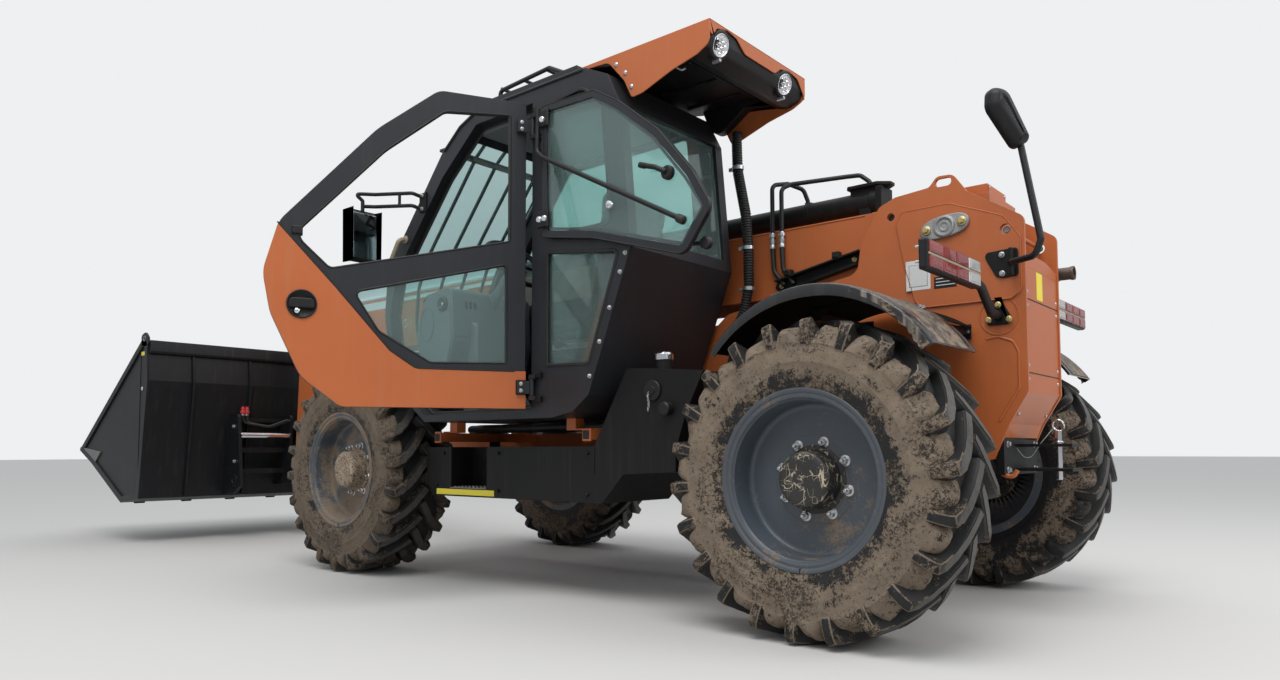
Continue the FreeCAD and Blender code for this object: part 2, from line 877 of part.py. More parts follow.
# Tow hitch behind the plates: two jaws, their back plate and the captive pin
jaw_thickness = 12
jaw_gap = 88
hitch_pin_radius = 12


def tow_hitch():
    jaws = []
    for z in (hitch_z - jaw_gap / 2 - jaw_thickness, hitch_z + jaw_gap / 2):
        jaws.append(box(hitch_x - 70, -420, -75, 75, z, z + jaw_thickness))
    back = box(-450, -420, -frame_half_gap, frame_half_gap, hitch_z - 70, hitch_z + 75)
    pin = rod((hitch_x, 0, hitch_z - 85), (hitch_x, 0, hitch_z + 105), hitch_pin_radius)
    return joined(back, pin, *jaws)


shapes["tow_hitch"] = tow_hitch()

# Rear cover: folded panels between the plates
cover_sheet = 5
cover_top = 1440


def rear_cover():
    line = ((tower_rear + 6, cover_top), (tower_rear + 6, 934), (-474, 806), (-452, 806 - 55))
    inner = [(x + cover_sheet, z) for x, z in line]
    outline = list(line) + list(reversed(inner))
    return plate_xz(outline, -frame_half_gap, frame_half_gap)


shapes["rear_cover"] = rear_cover()

# Cab outline, counter-clockwise seen from the right: x, z
cab_outline = fitted((
    (1310, cab_floor),
    (2280, cab_floor),
    (2430, 960),
    (2520, 1060),
    (2615, 1250),
    (2660, 1460),
    (2645, 1640),
    (2570, 1800),
    (2320, 2090),
    (2140, 2300),
    (2010, 2400),
    (1880, drawn_roof),
    (1101, drawn_roof),
    (965, 2385),
    (887, 2232),
    (830, 1585),
    (1080, 953),
    (1180, 880),
))
# Door outline: distance from the hinge line, z
door_outline = from_hinge((
    (26, 900),
    (853, 897, 60),
    (1018, 1024, 150),
    (1144, 1300, 200),
    (1175, 1470, 150),
    (1114, 1693, 150),
    (712, 2151, 400),
    (440, 2369, 90),
    (26, 2370),
))
door_upper_opening = from_hinge((
    (98, 1688, 20),
    (906, 1496, 40),
    (1060, 1640, 60),
    (680, 2060, 300),
    (414, 2280, 60),
    (98, 2307, 20),
))
door_lower_opening = from_hinge((
    (112, 1108, 20),
    (471, 1099, 30),
    (700, 1232, 60),
    (812, 1409, 30),
    (114, 1586, 20),
))
door_panel_edge = from_hinge((
    (26, 900),
    (853, 897, 60),
    (1018, 1024, 150),
    (1144, 1300, 200),
    (1175, 1470, 150),
    (1125, 1690),
    (871, 1410, 80),
    (648, 1151, 80),
    (534, 1075, 40),
    (26, 1076),
))
hinge_heights = (1000, up(2250))
handle_centre = from_hinge(((1017, 1336),))[0]
handle_radius = 62

windscreen_cut = fitted((
    (2010, 2330),
    (2450, 1740),
    (2520, 1500),
    (2440, 1080),
    (3000, 1080),
    (3000, 2600),
    (2060, 2600),
))
right_window = fitted(((1000, 1560, 40), (2440, 1560, 40), (2440, 1740, 60), (1960, 2330, 80), (1080, 2340, 60)))
rear_window = (up(1640), up(2230))
rear_wall = (fore(800), fore(960))
upper_quarter = fitted(((935, 1700, 30), (1350, 1700, 20), (1350, 2350, 20), (1110, 2370, 90), (985, 2250, 60)))
lower_quarter = fitted(((1072, 1084, 30), (1355, 1092, 20), (1355, 1640, 20), (890, 1585, 30)))


def shifted(points, dx, dz):
    return [(p[0] + dx, p[1] + dz) + tuple(p[2:]) for p in points]


def cab_shell():
    outer = plate_xz(cab_outline, cab_right, cab_left)
    hollow = plate_xz(inset(cab_outline, cab_wall), cab_right + cab_wall, cab_left - cab_wall)
    shell = outer.cut(hollow)
    left_in = cab_left - cab_wall - 1
    right_in = cab_right + cab_wall + 1
    door_space = [p[:2] for p in door_outline]
    door_hole = inset(door_space, -open_gap)
    shell = shell.cut(plate_xz(shifted(door_hole, door_hinge_x, 0), left_in, cab_left + 1))
    shell = shell.cut(plate_xz(upper_quarter, left_in, cab_left + 1))
    shell = shell.cut(plate_xz(lower_quarter, left_in, cab_left + 1))
    shell = shell.cut(plate_xz(right_window, cab_right - 1, right_in))
    screen_low = cab_right + cab_wall + 10
    screen_high = cab_left - cab_wall - 10
    shell = shell.cut(plate_xz(windscreen_cut, screen_low, screen_high))
    shell = shell.cut(box(*rear_wall, screen_low, screen_high, *rear_window))
    lugs = []
    axis_y = cab_left + door_hinge_out
    for z in hinge_heights:
        end = hinge_half + 20
        lugs.append(rod((door_hinge_x, axis_y, z - end), (door_hinge_x, axis_y, z + end), hinge_pin_radius))
        for z0, z1 in ((z - end, z - hinge_half - running_gap), (z + hinge_half + running_gap, z + end)):
            lugs.append(box(door_hinge_x - 30, door_hinge_x + 12, cab_left, axis_y + 12, z0, z1))
    return joined(shell, *lugs)


def cab_glass():
    panes = []
    edge = running_gap
    depth = 18
    pane = glass_thickness
    y0 = cab_right + cab_wall + 10 + edge
    y1 = cab_left - cab_wall - 10 - edge
    band = plate_xz(inset(cab_outline, depth), y0, y1)
    band = band.cut(plate_xz(inset(cab_outline, depth + pane), y0 - 1, y1 + 1))
    panes.append(band.common(plate_xz(inset(windscreen_cut, edge), y0, y1)))
    panes.append(band.common(box(*rear_wall, y0, y1, rear_window[0] + edge, rear_window[1] - edge)))
    for outline, y in ((upper_quarter, cab_left - depth), (lower_quarter, cab_left - depth),
                       (right_window, cab_right + depth - pane)):
        panes.append(plate_xz(outline, y - pane, y))
    return group(*panes)


shapes["cab_shell"] = cab_shell()
shapes["cab_glass"] = cab_glass()

# Roof panel, visor behind it with its two lamps, and the rack and guard bars
visor_front = 1168
visor_rear = 447
visor_top = 2488
visor_outline = fitted((
    (visor_front, visor_top),
    (visor_front, 2466),
    (1000, 2415),
    (856, 2268),
    (660, 2309),
    (476, 2348),
    (435, 2393),
    (visor_rear, visor_top),
))
visor_core = fitted((
    (visor_front, visor_top),
    (1000, 2440),
    (856, 2310),
    (476, 2376),
    (462, 2400),
    (visor_rear, visor_top),
))
visor_lamps = (900, 377)
visor_lamp_z = up(2425)
visor_left = 1004
visor_right = 216
visor_plate = 8
lamp_radius = 42


def roof():
    rear = fore(visor_front) + 1
    front = fore(1930)
    top = roof_height + roof_thickness
    outline = ((rear, roof_height), (front, roof_height), (front - 50, top, 20), (rear, top))
    return plate_xz(outline, cab_right + 15, cab_left - 15)


def visor():
    cab_clear = plate_xz(inset(cab_outline, -running_gap), cab_right - 100, cab_left + 100)
    side = plate_xz(visor_outline, visor_left - visor_plate, visor_left)
    side = side.fuse(plate_xz(visor_outline, visor_right, visor_right + visor_plate))
    core = plate_xz(visor_core, visor_right, visor_left)
    shape = joined(side, core).cut(cab_clear)
    for y in visor_lamps:
        shape = joined(shape, rod((visor_rear - 7, y, visor_lamp_z), (visor_rear + 33, y, visor_lamp_z), lamp_radius))
    return shape


shapes["cab_roof"] = roof()
shapes["visor"] = visor()

guard_bar = 14
guard_gap = 30
guard_count = 5
guard_feet = fitted(((2615, 1250), (2140, 2300)))
guard_part = fitted(((2020, 2330), (2300, 2900), (3000, 2900), (3000, 1300), (2400, 1300), (2400, 1700)))


rack_posts = (1340, 1490, 1860)


def guard_and_rack():
    pieces = []
    low_y = cab_right + 90
    high_y = cab_left - 90
    outer = inset(cab_outline, -(guard_gap + guard_bar))
    inner = inset(cab_outline, -guard_gap)
    step = (high_y - low_y) / (guard_count - 1)
    for i in range(guard_count):
        y = low_y + i * step - guard_bar / 2
        bar = plate_xz(outer, y, y + guard_bar).cut(plate_xz(inner, y - 1, y + guard_bar + 1))
        pieces.append(bar.common(plate_xz(guard_part, y, y + guard_bar)))
    for x, z in guard_feet:
        bar = box(x - 8, x + guard_gap + 24, cab_right + 15, cab_left - 15, z + 6, z + 6 + guard_bar)
        pieces.append(bar.cut(plate_xz(cab_outline, cab_right, cab_left)))
    guard = joined(*pieces)
    top = roof_height + roof_thickness
    rails = []
    for y in (cab_right + 110, cab_left - 150):
        rear, bend, front = (fore(x) for x in rack_posts)
        rails.append(pipe(((rear, y, top), (rear, y, top + 45), (bend, y, top + 125),
                           (front, y, top + 105), (front, y, top)), 11, 25))
    for x in (bend + 10, (bend + front) / 2 + 5, front - 10):
        rails.append(rod((x, cab_right + 110, top + 115), (x, cab_left - 150, top + 115), 9))
    rack = joined(*rails)
    return group(guard, rack)


shapes["guard_and_rack"] = guard_and_rack()

# Driver's place: seat, dash with its column, steering wheel
floor_top = cab_floor + cab_wall
seat_y = 655
seat_half = 235


def seat():
    base = box(fore(1340), fore(1600), seat_y - 170, seat_y + 170, floor_top, 1270)
    cushion = plate_xz(fitted(((1150, 1240, 30), (1660, 1255, 40), (1660, 1360, 40), (1200, 1345, 30))),
                       seat_y - seat_half, seat_y + seat_half)
    back = plate_xz(fitted(((1165, 1250, 20), (1290, 1280, 20), (1180, 1960, 50), (1075, 1950, 40))),
                    seat_y - seat_half + 10, seat_y + seat_half - 10)
    return joined(base, cushion, back)


column_foot = (fore(2240), up(1500))
column_way = (-0.7226, 0.6912)
column_length = 320
steering_hub = 30
steering_radius = 190


def column_point(distance):
    # Point on the steering column's line, measured from the top of the column
    reach = column_length + distance
    return (column_foot[0] + column_way[0] * reach, seat_y, column_foot[1] + column_way[1] * reach)


def dash():
    outline = fitted(((2290, floor_top + 30), (2440, 1100), (2500, 1350), (2430, 1560, 40), (2200, 1590, 40),
                      (2180, 1300, 60)))
    desk = plate_xz(outline, cab_right + cab_wall + 60, cab_left - cab_wall - 60)
    foot = box(fore(2130), fore(2250), seat_y - 160, seat_y + 160, floor_top, up(1400))
    column = rod((column_foot[0], seat_y, column_foot[1]), column_point(-running_gap), 30)
    return joined(desk, foot, column)


def steering_wheel():
    x, y, z = column_point(steering_hub / 2)
    axis = vec(column_way[0], 0, column_way[1])
    rim_ring = Part.makeTorus(steering_radius, 14, vec(x, y, z), axis)
    hub = rod(column_point(0), column_point(steering_hub), 45)
    spokes = []
    for side in (-1, 1):
        spokes.append(rod((x, y, z), (x, y + side * (steering_radius - 2), z), 10))
    return joined(rim_ring, hub, *spokes)


shapes["seat"] = seat()
shapes["dash"] = dash()
shapes["steering_wheel"] = steering_wheel()

# Door: black frame, coloured lower panel, lower pane. It stands open at its stored angle.
door_in = cab_left - cab_wall + 2


def hung(shape):
    placed = shape.copy()
    placed.translate(vec(door_hinge_x, 0, 0))
    return turn(placed, vec(door_hinge_x, cab_left + door_hinge_out, 0), vec(0, 0, 1), door_open_deg)


def door_frame():
    face = cab_left - door_skin
    shape = plate_xz(door_outline, door_in, face)
    shape = shape.cut(plate_xz(door_upper_opening, door_in - 1, face + 1))
    shape = shape.cut(plate_xz(door_lower_opening, door_in - 1, face + 1))
    axis_y = cab_left + door_hinge_out
    for z in hinge_heights:
        barrel = ring((0, axis_y, z - hinge_half), (0, axis_y, z + hinge_half), hinge_radius,
                      hinge_pin_radius + running_gap)
        strap = box(hinge_pin_radius + 2, 72, cab_left + 0.5, axis_y - 2, z - 30, z + 30)
        pad = box(30, 70, face, axis_y - 2, z - 30, z + 30)
        shape = joined(shape, barrel, strap, pad)
    return shape


def door_panel():
    face = cab_left - door_skin
    panel = plate_xz(door_panel_edge, face, cab_left)
    x, z = handle_centre
    panel = panel.cut(rod((x, face - 1, z), (x, cab_left + 1, z), handle_radius))
    panel = panel.common(plate_xz(door_outline, face, cab_left))
    z = hinge_heights[0]
    return panel.cut(box(0, 74, face - 1, cab_left + 1, z - 34, z + 34))


def door_glass():
    middle = (door_in + cab_left - door_skin) / 2
    return plate_xz(inset(door_lower_opening, running_gap), middle, middle + glass_thickness)


shapes["door_frame"] = hung(door_frame())
shapes["door_panel"] = hung(door_panel())
shapes["door_glass"] = hung(door_glass())

# Upper half of the door, folded right back on the cab's rear quarter: x, z
leaf_outline = fitted((
    (1360, 2330, 20),
    (1020, 2320, 60),
    (870, 2230, 120),
    (650, 2050, 300),
    (475, 1840, 100),
    (380, 1680, 60),
    (520, 1495, 60),
    (1030, 1645, 300),
    (1345, 1697, 20),
))
leaf_near = cab_left + 8
leaf_thickness = 22
leaf_border = 34
leaf_knob_x = fore(1341)
leaf_knob_heights = (up(1781), up(2262))


def upper_leaf():
    far = leaf_near + leaf_thickness
    frame = plate_xz(leaf_outline, leaf_near, far)
    opening = plate_xz(inset(leaf_outline, leaf_border), leaf_near - 1, far + 1)
    frame = frame.cut(opening)
    knobs = []
    for z in leaf_knob_heights:
        knobs.append(rod((leaf_knob_x, cab_left, z), (leaf_knob_x, far + 10, z), 14))
    return joined(frame, *knobs)


def leaf_glass():
    y = leaf_near + 8
    return plate_xz(inset(leaf_outline, leaf_border + running_gap), y, y + glass_thickness)


shapes["upper_leaf"] = upper_leaf()
shapes["leaf_glass"] = leaf_glass()

# Tank with the step on the left, below the cab: x, z
tank_outline = bay((
    (2310, 463),
    (2390, 549),
    (2390, 723),
    (1138, 723),
    (941, 1069, 30),
    (797, 1060),
    (520, 1035),
    (612, 860),
    (668, 700),
    (668, 612),
    (961, 597),
    (1090, 463),
))
step_cut = (fore(1890), fore(2180), 505)
filler_x = fore(785)


def tank():
    body = plate_xz(tank_outline, tank_inner, tank_outer)
    x0, x1, z0 = step_cut
    body = body.cut(box(x0, x1, tank_outer - 150, tank_outer + 1, z0, 724))
    for x in outriggers:
        half = outrigger_size / 2
        hanger = box(x - half, x + half, tank_inner + 60, tank_inner + 100, 723,
                     outrigger_top - outrigger_size)
        body = body.fuse(hanger)
    cap = rod((filler_x, tank_outer - 70, 1040), (filler_x, tank_outer - 70, 1125), 38)
    return joined(body, cap)


shapes["tank"] = tank()

# Engine unit on the right: lower box, hood hinged along its inner top edge, engine block
hood_rear = fore(760)
hood_front = fore(2385)
hood_hinge_y = -hood_inner
hood_hinge_z = hood_top + 6


hood_hinges = (hood_rear + 250, hood_front - 450)


def engine_pod():
    outer = box(hood_rear, hood_front, -hood_outer + 40, -hood_inner, 520, outrigger_top - outrigger_size)
    wall = box(hood_rear, hood_front, -hood_inner - 12, -hood_inner, outrigger_top - outrigger_size - 1,
               hood_top - hood_wall - 8)
    cut = plate_xz(((hood_front + 1, 519), (hood_front + 1, 640), (hood_front - 100, 519)),
                   -hood_outer, -hood_inner + 1)
    rear_cut = plate_xz(((hood_rear - 1, 519), (hood_rear + 110, 519), (hood_rear - 1, 660)),
                        -hood_outer, -hood_inner + 1)
    shape = joined(outer, wall).cut(cut).cut(rear_cut)
    half = outrigger_size / 2
    for x in outriggers:
        space = box(x - half - 1, x + half + 1, -hood_inner - 14, -hood_inner + 2,
                    outrigger_top - outrigger_size, outrigger_top + 1)
        shape = shape.cut(space)
    for x in hood_hinges:
        for x0, x1 in ((x - 30, x - running_gap), (x + 100 + running_gap, x + 130)):
            shape = shape.fuse(box(x0, x1, -hood_inner - 5, -hood_inner + 10, hood_top - 60,
                                   hood_hinge_z + 9))
    return shape.removeSplitter()


def hood():
    floor = outrigger_top + 2
    outline = ((hood_rear, floor), (hood_front, floor), (hood_front, 1180, 80),
               (hood_front - 200, hood_top, 200), (hood_rear + 60, hood_top, 60), (hood_rear, 1300, 60))
    outer = plate_xz(outline, -hood_outer, -hood_inner - 14)
    plain = inset([p[:2] for p in outline], hood_wall)
    plain[0] = (plain[0][0], floor - 1)
    plain[1] = (plain[1][0], floor - 1)
    hollow = plate_xz(plain, -hood_outer + hood_wall, -hood_inner + 1)
    shape = outer.cut(hollow)
    hinges = []
    for x in hood_hinges:
        hinges.append(rod((x, hood_hinge_y, hood_hinge_z), (x + 100, hood_hinge_y, hood_hinge_z), 10))
        hinges.append(box(x, x + 100, -hood_inner - 40, -hood_inner, hood_top - 4, hood_top + 8))
    return joined(shape, *hinges)


def engine_block():
    return box(fore(1290), fore(2200), -880, -420, outrigger_top - outrigger_size, 1220)


shapes["engine_pod"] = engine_pod()
shapes["hood"] = hood()
shapes["engine_block"] = engine_block()

# Exhaust along the right plate, above the fender
exhaust_y = -(frame_half_gap + frame_plate + 90)
exhaust_z = 1490
exhaust_radius = 28
silencer_radius = 62


def exhaust():
    silencer = rod((90, exhaust_y, exhaust_z), (560, exhaust_y, exhaust_z), silencer_radius)
    tail = rod((-585, exhaust_y, exhaust_z), (100, exhaust_y, exhaust_z), exhaust_radius)
    down = pipe(((550, exhaust_y, exhaust_z), (690, exhaust_y, exhaust_z), (690, exhaust_y, 690),
                 (hood_rear, exhaust_y, 690)), exhaust_radius, 60)
    face = -(frame_half_gap + frame_plate)
    foot = box(0, 50, exhaust_y, face, exhaust_z - 20, exhaust_z + 20)
    return joined(silencer, tail, down, foot)


shapes["exhaust"] = exhaust()

# Fenders over the rear wheels, on arms from the frame plates
fender_centre = (-20, 757)
fender_radius = 560
fender_lip_radius = 516
fender_sheet = 6
fender_inner = 640
fender_outer = 1040
fender_start = 37
fender_end = 147
fender_arms = (-300, 130)
arm_half = 20
arm_bar = 30


def fender():
    x, z = fender_centre
    r = fender_radius
    t = fender_sheet
    section = ((r, fender_inner), (r, fender_outer), (fender_lip_radius, fender_outer),
               (fender_lip_radius, fender_outer - t), (r - t, fender_outer - t), (r - t, fender_inner))
    line = [vec(x + radius, y, z) for radius, y in section]
    face = Part.Face(Part.makePolygon(line + [line[0]]))
    face.rotate(vec(x, 0, z), vec(0, 1, 0), -fender_start)
    shell = face.revolve(vec(x, 0, z), vec(0, 1, 0), -(fender_end - fender_start))
    arms = []
    for ax in fender_arms:
        top = z + math.sqrt((r - t) ** 2 - (ax - x) ** 2)
        low = top - 2 * arm_bar
        foot = box(ax - arm_half, ax + arm_half, fender_inner, fender_inner + 2 * arm_bar, low, top + arm_bar)
        arms.append(box(ax - arm_half, ax + arm_half, frame_half_gap + frame_plate, fender_inner + 2 * arm_bar,
                        low, low + arm_bar))
        arms.append(foot.common(rod((x, fender_inner, z), (x, fender_outer, z), r - t / 2)))
    return joined(shell, *arms)


shapes["fender_left"] = fender()
shapes["fender_right"] = mirrored(shapes["fender_left"])

# Mirrors, tail lamps
plate_face = frame_half_gap + frame_plate


def mirrors():
    foot_plate = 18
    x, z = fore(2310), up(2035)
    front_foot = rod((x, cab_left, z), (x, cab_left + foot_plate, z), 30)
    front_arm = pipe(((x, cab_left + foot_plate - 4, z), (x + 35, 1110, z + 55), (x + 220, 1190, z + 60),
                      (x + 255, 1262, z + 35), (x + 255, 1262, z - 55)), 11, 22)
    front_head = plate_xz(((x + 235, z - 320, 18), (x + 275, z - 320, 18), (x + 275, z - 25, 18),
                           (x + 235, z - 25, 18)), 1168, 1350)
    rear_y = 400
    head_x = -570
    head_turn = 50
    seat_face = plate_face + doubler_plate
    foot = plate_xz(((-520, 1400, 20), (-430, 1400, 20), (-430, 1500, 20), (-520, 1500, 20)),
                    seat_face, seat_face + foot_plate)
    post = pipe(((-480, seat_face + foot_plate - 4, 1450), (-520, 330, 1437), (-640, rear_y, 1440),
                 (-661, rear_y, 1500), (-590, rear_y - 22, 1885), (head_x, rear_y, 1960)), 13, 22)
    head = plate_xz(((-465, 2102, 35), (-460, 2020, 60), (-572, 1862, 28), (-640, 1905, 25), (-540, 2102, 60)),
                    rear_y - 17, rear_y + 17)
    head = turn(head, vec(head_x, rear_y, 0), vec(0, 0, 1), head_turn)
    return group(joined(front_foot, front_arm, front_head), joined(foot, post, head))


lamp_x = -475
lamp_z = 1368
lamp_depth = 35
lamp_half_height = 52
lamp_foot = (-448, 1246)


def tail_lamps():
    body = box(lamp_x, lamp_x + lamp_depth, 520, 1035, lamp_z - lamp_half_height, lamp_z + lamp_half_height)
    x, z = lamp_foot
    arm = pipe(((x, plate_face + 8, z), (x, 330, z), (-456, 465, 1330), (-456, 560, 1350)), 18, 40)
    flange = rod((x, plate_face, z), (x, plate_face + 10, z), 55)
    lamp = joined(body, arm, flange)
    return group(lamp, mirrored(lamp))


shapes["mirrors"] = mirrors()
shapes["tail_lamps"] = tail_lamps()


def export():
    os.makedirs("parts", exist_ok=True)
    for name, shape in shapes.items():
        placed = shape.copy()
        placed.translate(-origin)
        placed.exportStep("parts/" + name + ".step")
    print("wrote", len(shapes), "sub-parts")


export()
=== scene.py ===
# %% [markdown]
# # A telehandler, dressed around its working model
# The machine's working model comes in as a fixed frame: every plate, pin and joint has its place already.
# What follows gives each piece the look of the real one. Millimetres from the rear axle, as on the maker's
# drawing, are turned into the frame's metres by one function, so a number here means the same thing there.

# %% Load the frame
import json
import math

import bmesh
import bpy
from mathutils import Matrix, Vector, noise


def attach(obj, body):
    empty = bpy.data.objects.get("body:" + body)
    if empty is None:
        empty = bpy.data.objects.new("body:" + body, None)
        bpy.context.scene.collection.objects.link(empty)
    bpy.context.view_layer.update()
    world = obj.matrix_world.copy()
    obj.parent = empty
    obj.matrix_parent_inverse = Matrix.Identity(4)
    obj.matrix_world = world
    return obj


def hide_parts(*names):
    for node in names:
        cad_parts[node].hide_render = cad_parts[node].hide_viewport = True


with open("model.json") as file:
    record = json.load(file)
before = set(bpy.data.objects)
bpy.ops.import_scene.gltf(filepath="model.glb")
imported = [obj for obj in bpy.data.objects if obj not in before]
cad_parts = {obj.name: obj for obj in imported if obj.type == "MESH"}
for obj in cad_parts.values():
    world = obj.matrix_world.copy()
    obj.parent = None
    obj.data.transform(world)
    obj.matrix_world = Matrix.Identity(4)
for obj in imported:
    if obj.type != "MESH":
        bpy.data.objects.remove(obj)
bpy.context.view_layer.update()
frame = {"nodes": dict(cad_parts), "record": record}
nodes = frame["nodes"]
scene = bpy.context.scene

# %% [markdown]
# The frame's origin is the middle of the tow hitch. The drawing starts at the rear axle, on the ground and on
# the centre plane, so each point is moved by the hitch's place on that drawing. Both sides of the machine are
# often alike, so sizes across it are written once and multiplied by the side: 1 is left, -1 is right.

# %% Drawing to frame
HITCH = Vector((-598, 0, 670))
MM = 0.001
X, Y, Z = Vector((1, 0, 0)), Vector((0, 1, 0)), Vector((0, 0, 1))


def at(x, y, z):
    return (Vector((x, y, z)) - HITCH) * MM


def circle(count):
    # Cosine and sine of equal steps round a circle
    return [(math.cos(math.tau * k / count), math.sin(math.tau * k / count)) for k in range(count)]


FLOOR_Z = at(0, 0, 0).z
print("floor at", round(FLOOR_Z, 3))

# %% [markdown]
# ## Camera
# The photographer stood low beside the left rear wheel with a wide lens. Place, turn and lens were fitted to
# the four wheels. The picture is the lower part of a taller frame, so the lens is shifted up a little.

# %% Camera
EYE = at(-1609.8, 3891.4, 708.1)
YAW, PITCH, ROLL = -0.8717, 0.0558, -0.0028
PHOTO_WIDTH, FOCAL_PIXELS, SHIFT_PIXELS = 1280, 877.14, 60.28
SENSOR = 36

forward = Vector((math.cos(YAW) * math.cos(PITCH), math.sin(YAW) * math.cos(PITCH), math.sin(PITCH)))
right = forward.cross(Z).normalized()
turned = Matrix((right, right.cross(forward), -forward)).transposed() @ Matrix.Rotation(ROLL, 3, "Z")
lens_data = bpy.data.cameras.new("camera")
lens_data.sensor_width = SENSOR
lens_data.lens = SENSOR * FOCAL_PIXELS / PHOTO_WIDTH
lens_data.shift_y = SHIFT_PIXELS / PHOTO_WIDTH
camera = bpy.data.objects.new("camera", lens_data)
camera.matrix_world = Matrix.Translation(EYE) @ turned.to_4x4()
scene.collection.objects.link(camera)
scene.camera = camera
print("lens", round(lens_data.lens, 2), "mm")

# %% [markdown]
# ## Writing node trees
# Light and materials are built from nodes. One class writes them, and takes a number, a colour or another node's
# output alike, so each recipe further down reads like a formula.

# %% Node helpers
class Net:
    # The nodes of one tree, with a short word for each kind that this machine needs

    def __init__(self, tree):
        self.tree = tree

    def feed(self, node, sockets):
        for key, value in sockets.items():
            if isinstance(value, bpy.types.NodeSocket):
                self.tree.links.new(value, node.inputs[key])
            elif value is not None:
                node.inputs[key].default_value = value

    def new(self, kind, sockets=(), **settings):
        made = self.tree.nodes.new("ShaderNode" + kind)
        for key, value in settings.items():
            setattr(made, key, value)
        self.feed(made, dict(sockets))
        return made.outputs

    def place(self):
        return self.new("TexCoord")["Object"]

    def split(self, vector):
        return self.new("SeparateXYZ", {0: vector})

    def math(self, operation, a, b=None, clamp=False):
        return self.new("Math", {0: a, 1: b}, operation=operation, use_clamp=clamp)[0]

    def add(self, a, b, clamp=False):
        return self.math("ADD", a, b, clamp)

    def sub(self, a, b):
        return self.math("SUBTRACT", a, b)

    def mul(self, a, b, clamp=False):
        return self.math("MULTIPLY", a, b, clamp)

    def stretch(self, vector, factors):
        return self.new("VectorMath", {0: vector, 1: factors}, operation="MULTIPLY")[0]

    def ramp(self, value, low, high):
        # Smooth step from 0 at low to 1 at high
        return self.new("MapRange", {"Value": value, "From Min": low, "From Max": high},
                        interpolation_type="SMOOTHSTEP")[0]

    def noise(self, vector, scale, detail=4.0, rough=0.55, bend=0.0):
        return self.new("TexNoise", {"Vector": vector, "Scale": scale, "Detail": detail, "Roughness": rough,
                                     "Distortion": bend})["Fac"]

    def near_half(self, value, outer, inner):
        # Thin lines where a noise passes its middle value
        return self.ramp(self.math("ABSOLUTE", self.sub(value, 0.5)), outer, inner)

    def mix(self, factor, a, b, kind="RGBA"):
        return self.new("Mix", {"Factor": factor, "A": a, "B": b}, data_type=kind)["Result"]

    def blend(self, factor, a, b):
        return self.mix(factor, a, b, "FLOAT")

    def group(self, group, **sockets):
        return self.new("Group", {key.replace("_", " "): value for key, value in sockets.items()}, node_tree=group)

    def bump(self, height, distance=1.0, normal=None):
        return self.new("Bump", {"Distance": distance, "Height": height, "Normal": normal})[0]


# %% [markdown]
# ## Light and floor
# An overcast day is one large, soft lamp. A pale world gives most of the light, and one wide lamp high on the
# camera's side gives the paint its slow highlights. A gradient in the world lets glass and gloss paint show a
# brighter sky above a duller horizon. The floor is plain and only catches the shadow.

# %% Light
scene.view_settings.view_transform = "Standard"
world = bpy.data.worlds.new("overcast")
world.use_nodes = True
scene.world = world
net = Net(world.node_tree)
height = net.split(net.new("TexCoord")["Generated"])["Z"]
sky = net.tree.nodes.new("ShaderNodeValToRGB")
ends = sky.color_ramp.elements
ends[0].position, ends[0].color = 0.42, (0.15, 0.145, 0.14, 1)
ends[1].position, ends[1].color = 0.85, (1.0, 1.03, 1.07, 1)
ends.new(0.52).color = (0.34, 0.36, 0.39, 1)
net.feed(sky, {0: net.new("Math", {0: height, 1: 0.5, 2: 0.5}, operation="MULTIPLY_ADD")[0]})
seen = net.mix(net.new("LightPath")["Is Camera Ray"], sky.outputs["Color"], (0.86, 0.87, 0.88, 1))
net.feed(world.node_tree.nodes["Background"], {"Color": seen, "Strength": 1.0})


def soft_lamp(name, place, target, size, watts):
    data = bpy.data.lights.new(name, "AREA")
    data.shape = "DISK"
    data.size = size
    data.energy = watts
    lamp = bpy.data.objects.new(name, data)
    lamp.location = place
    lamp.rotation_euler = (target - place).to_track_quat("-Z", "Y").to_euler()
    scene.collection.objects.link(lamp)


soft_lamp("sky_lamp", at(-1000, 4500, 8500), at(1500, 0, 1000), 6.0, 520)
soft_lamp("rear_lamp", at(-7000, -1500, 5000), at(0, 0, 1200), 4.0, 220)

# %% Floor
finishes = {}


def new_material(name, **values):
    # A named finish: its shader keeps the values that are the same all over
    material = bpy.data.materials.new(name)
    material.use_nodes = True
    net = Net(material.node_tree)
    net.shader = material.node_tree.nodes["Principled BSDF"]
    net.feed(net.shader, {key.replace("_", " ").title().replace("Ior", "IOR"): value
                          for key, value in values.items()})
    finishes[name] = material
    return net


FLOOR_GAP = 0.0015
bpy.ops.mesh.primitive_plane_add(size=160, location=(3.0, 0, FLOOR_Z - FLOOR_GAP))
floor = bpy.context.object
floor.name = "floor"
new_material("floor_paint", base_color=(0.52, 0.51, 0.49, 1), roughness=0.9)
floor.data.materials.append(finishes["floor_paint"])
print("world, two lamps and floor")

# %% [markdown]
# ## Shared effects
# Four things happen to every surface of a working machine: its edges wear bright, dry mud sticks low down, fine
# dust settles, and the paint or casting has a grain. Each is one node group, built once and given its own
# values in each material. A group only puts out masks, colours, heights and normals; the shader stays outside.
#
# **Edge wear** compares the surface's own normal with one rounded over a few millimetres. They differ only near
# an edge. The rounded normal also lets folded sheet catch a line of light, as a real fold does.

# %% Edge wear group
FLOAT, VECTOR = "NodeSocketFloat", "NodeSocketVector"


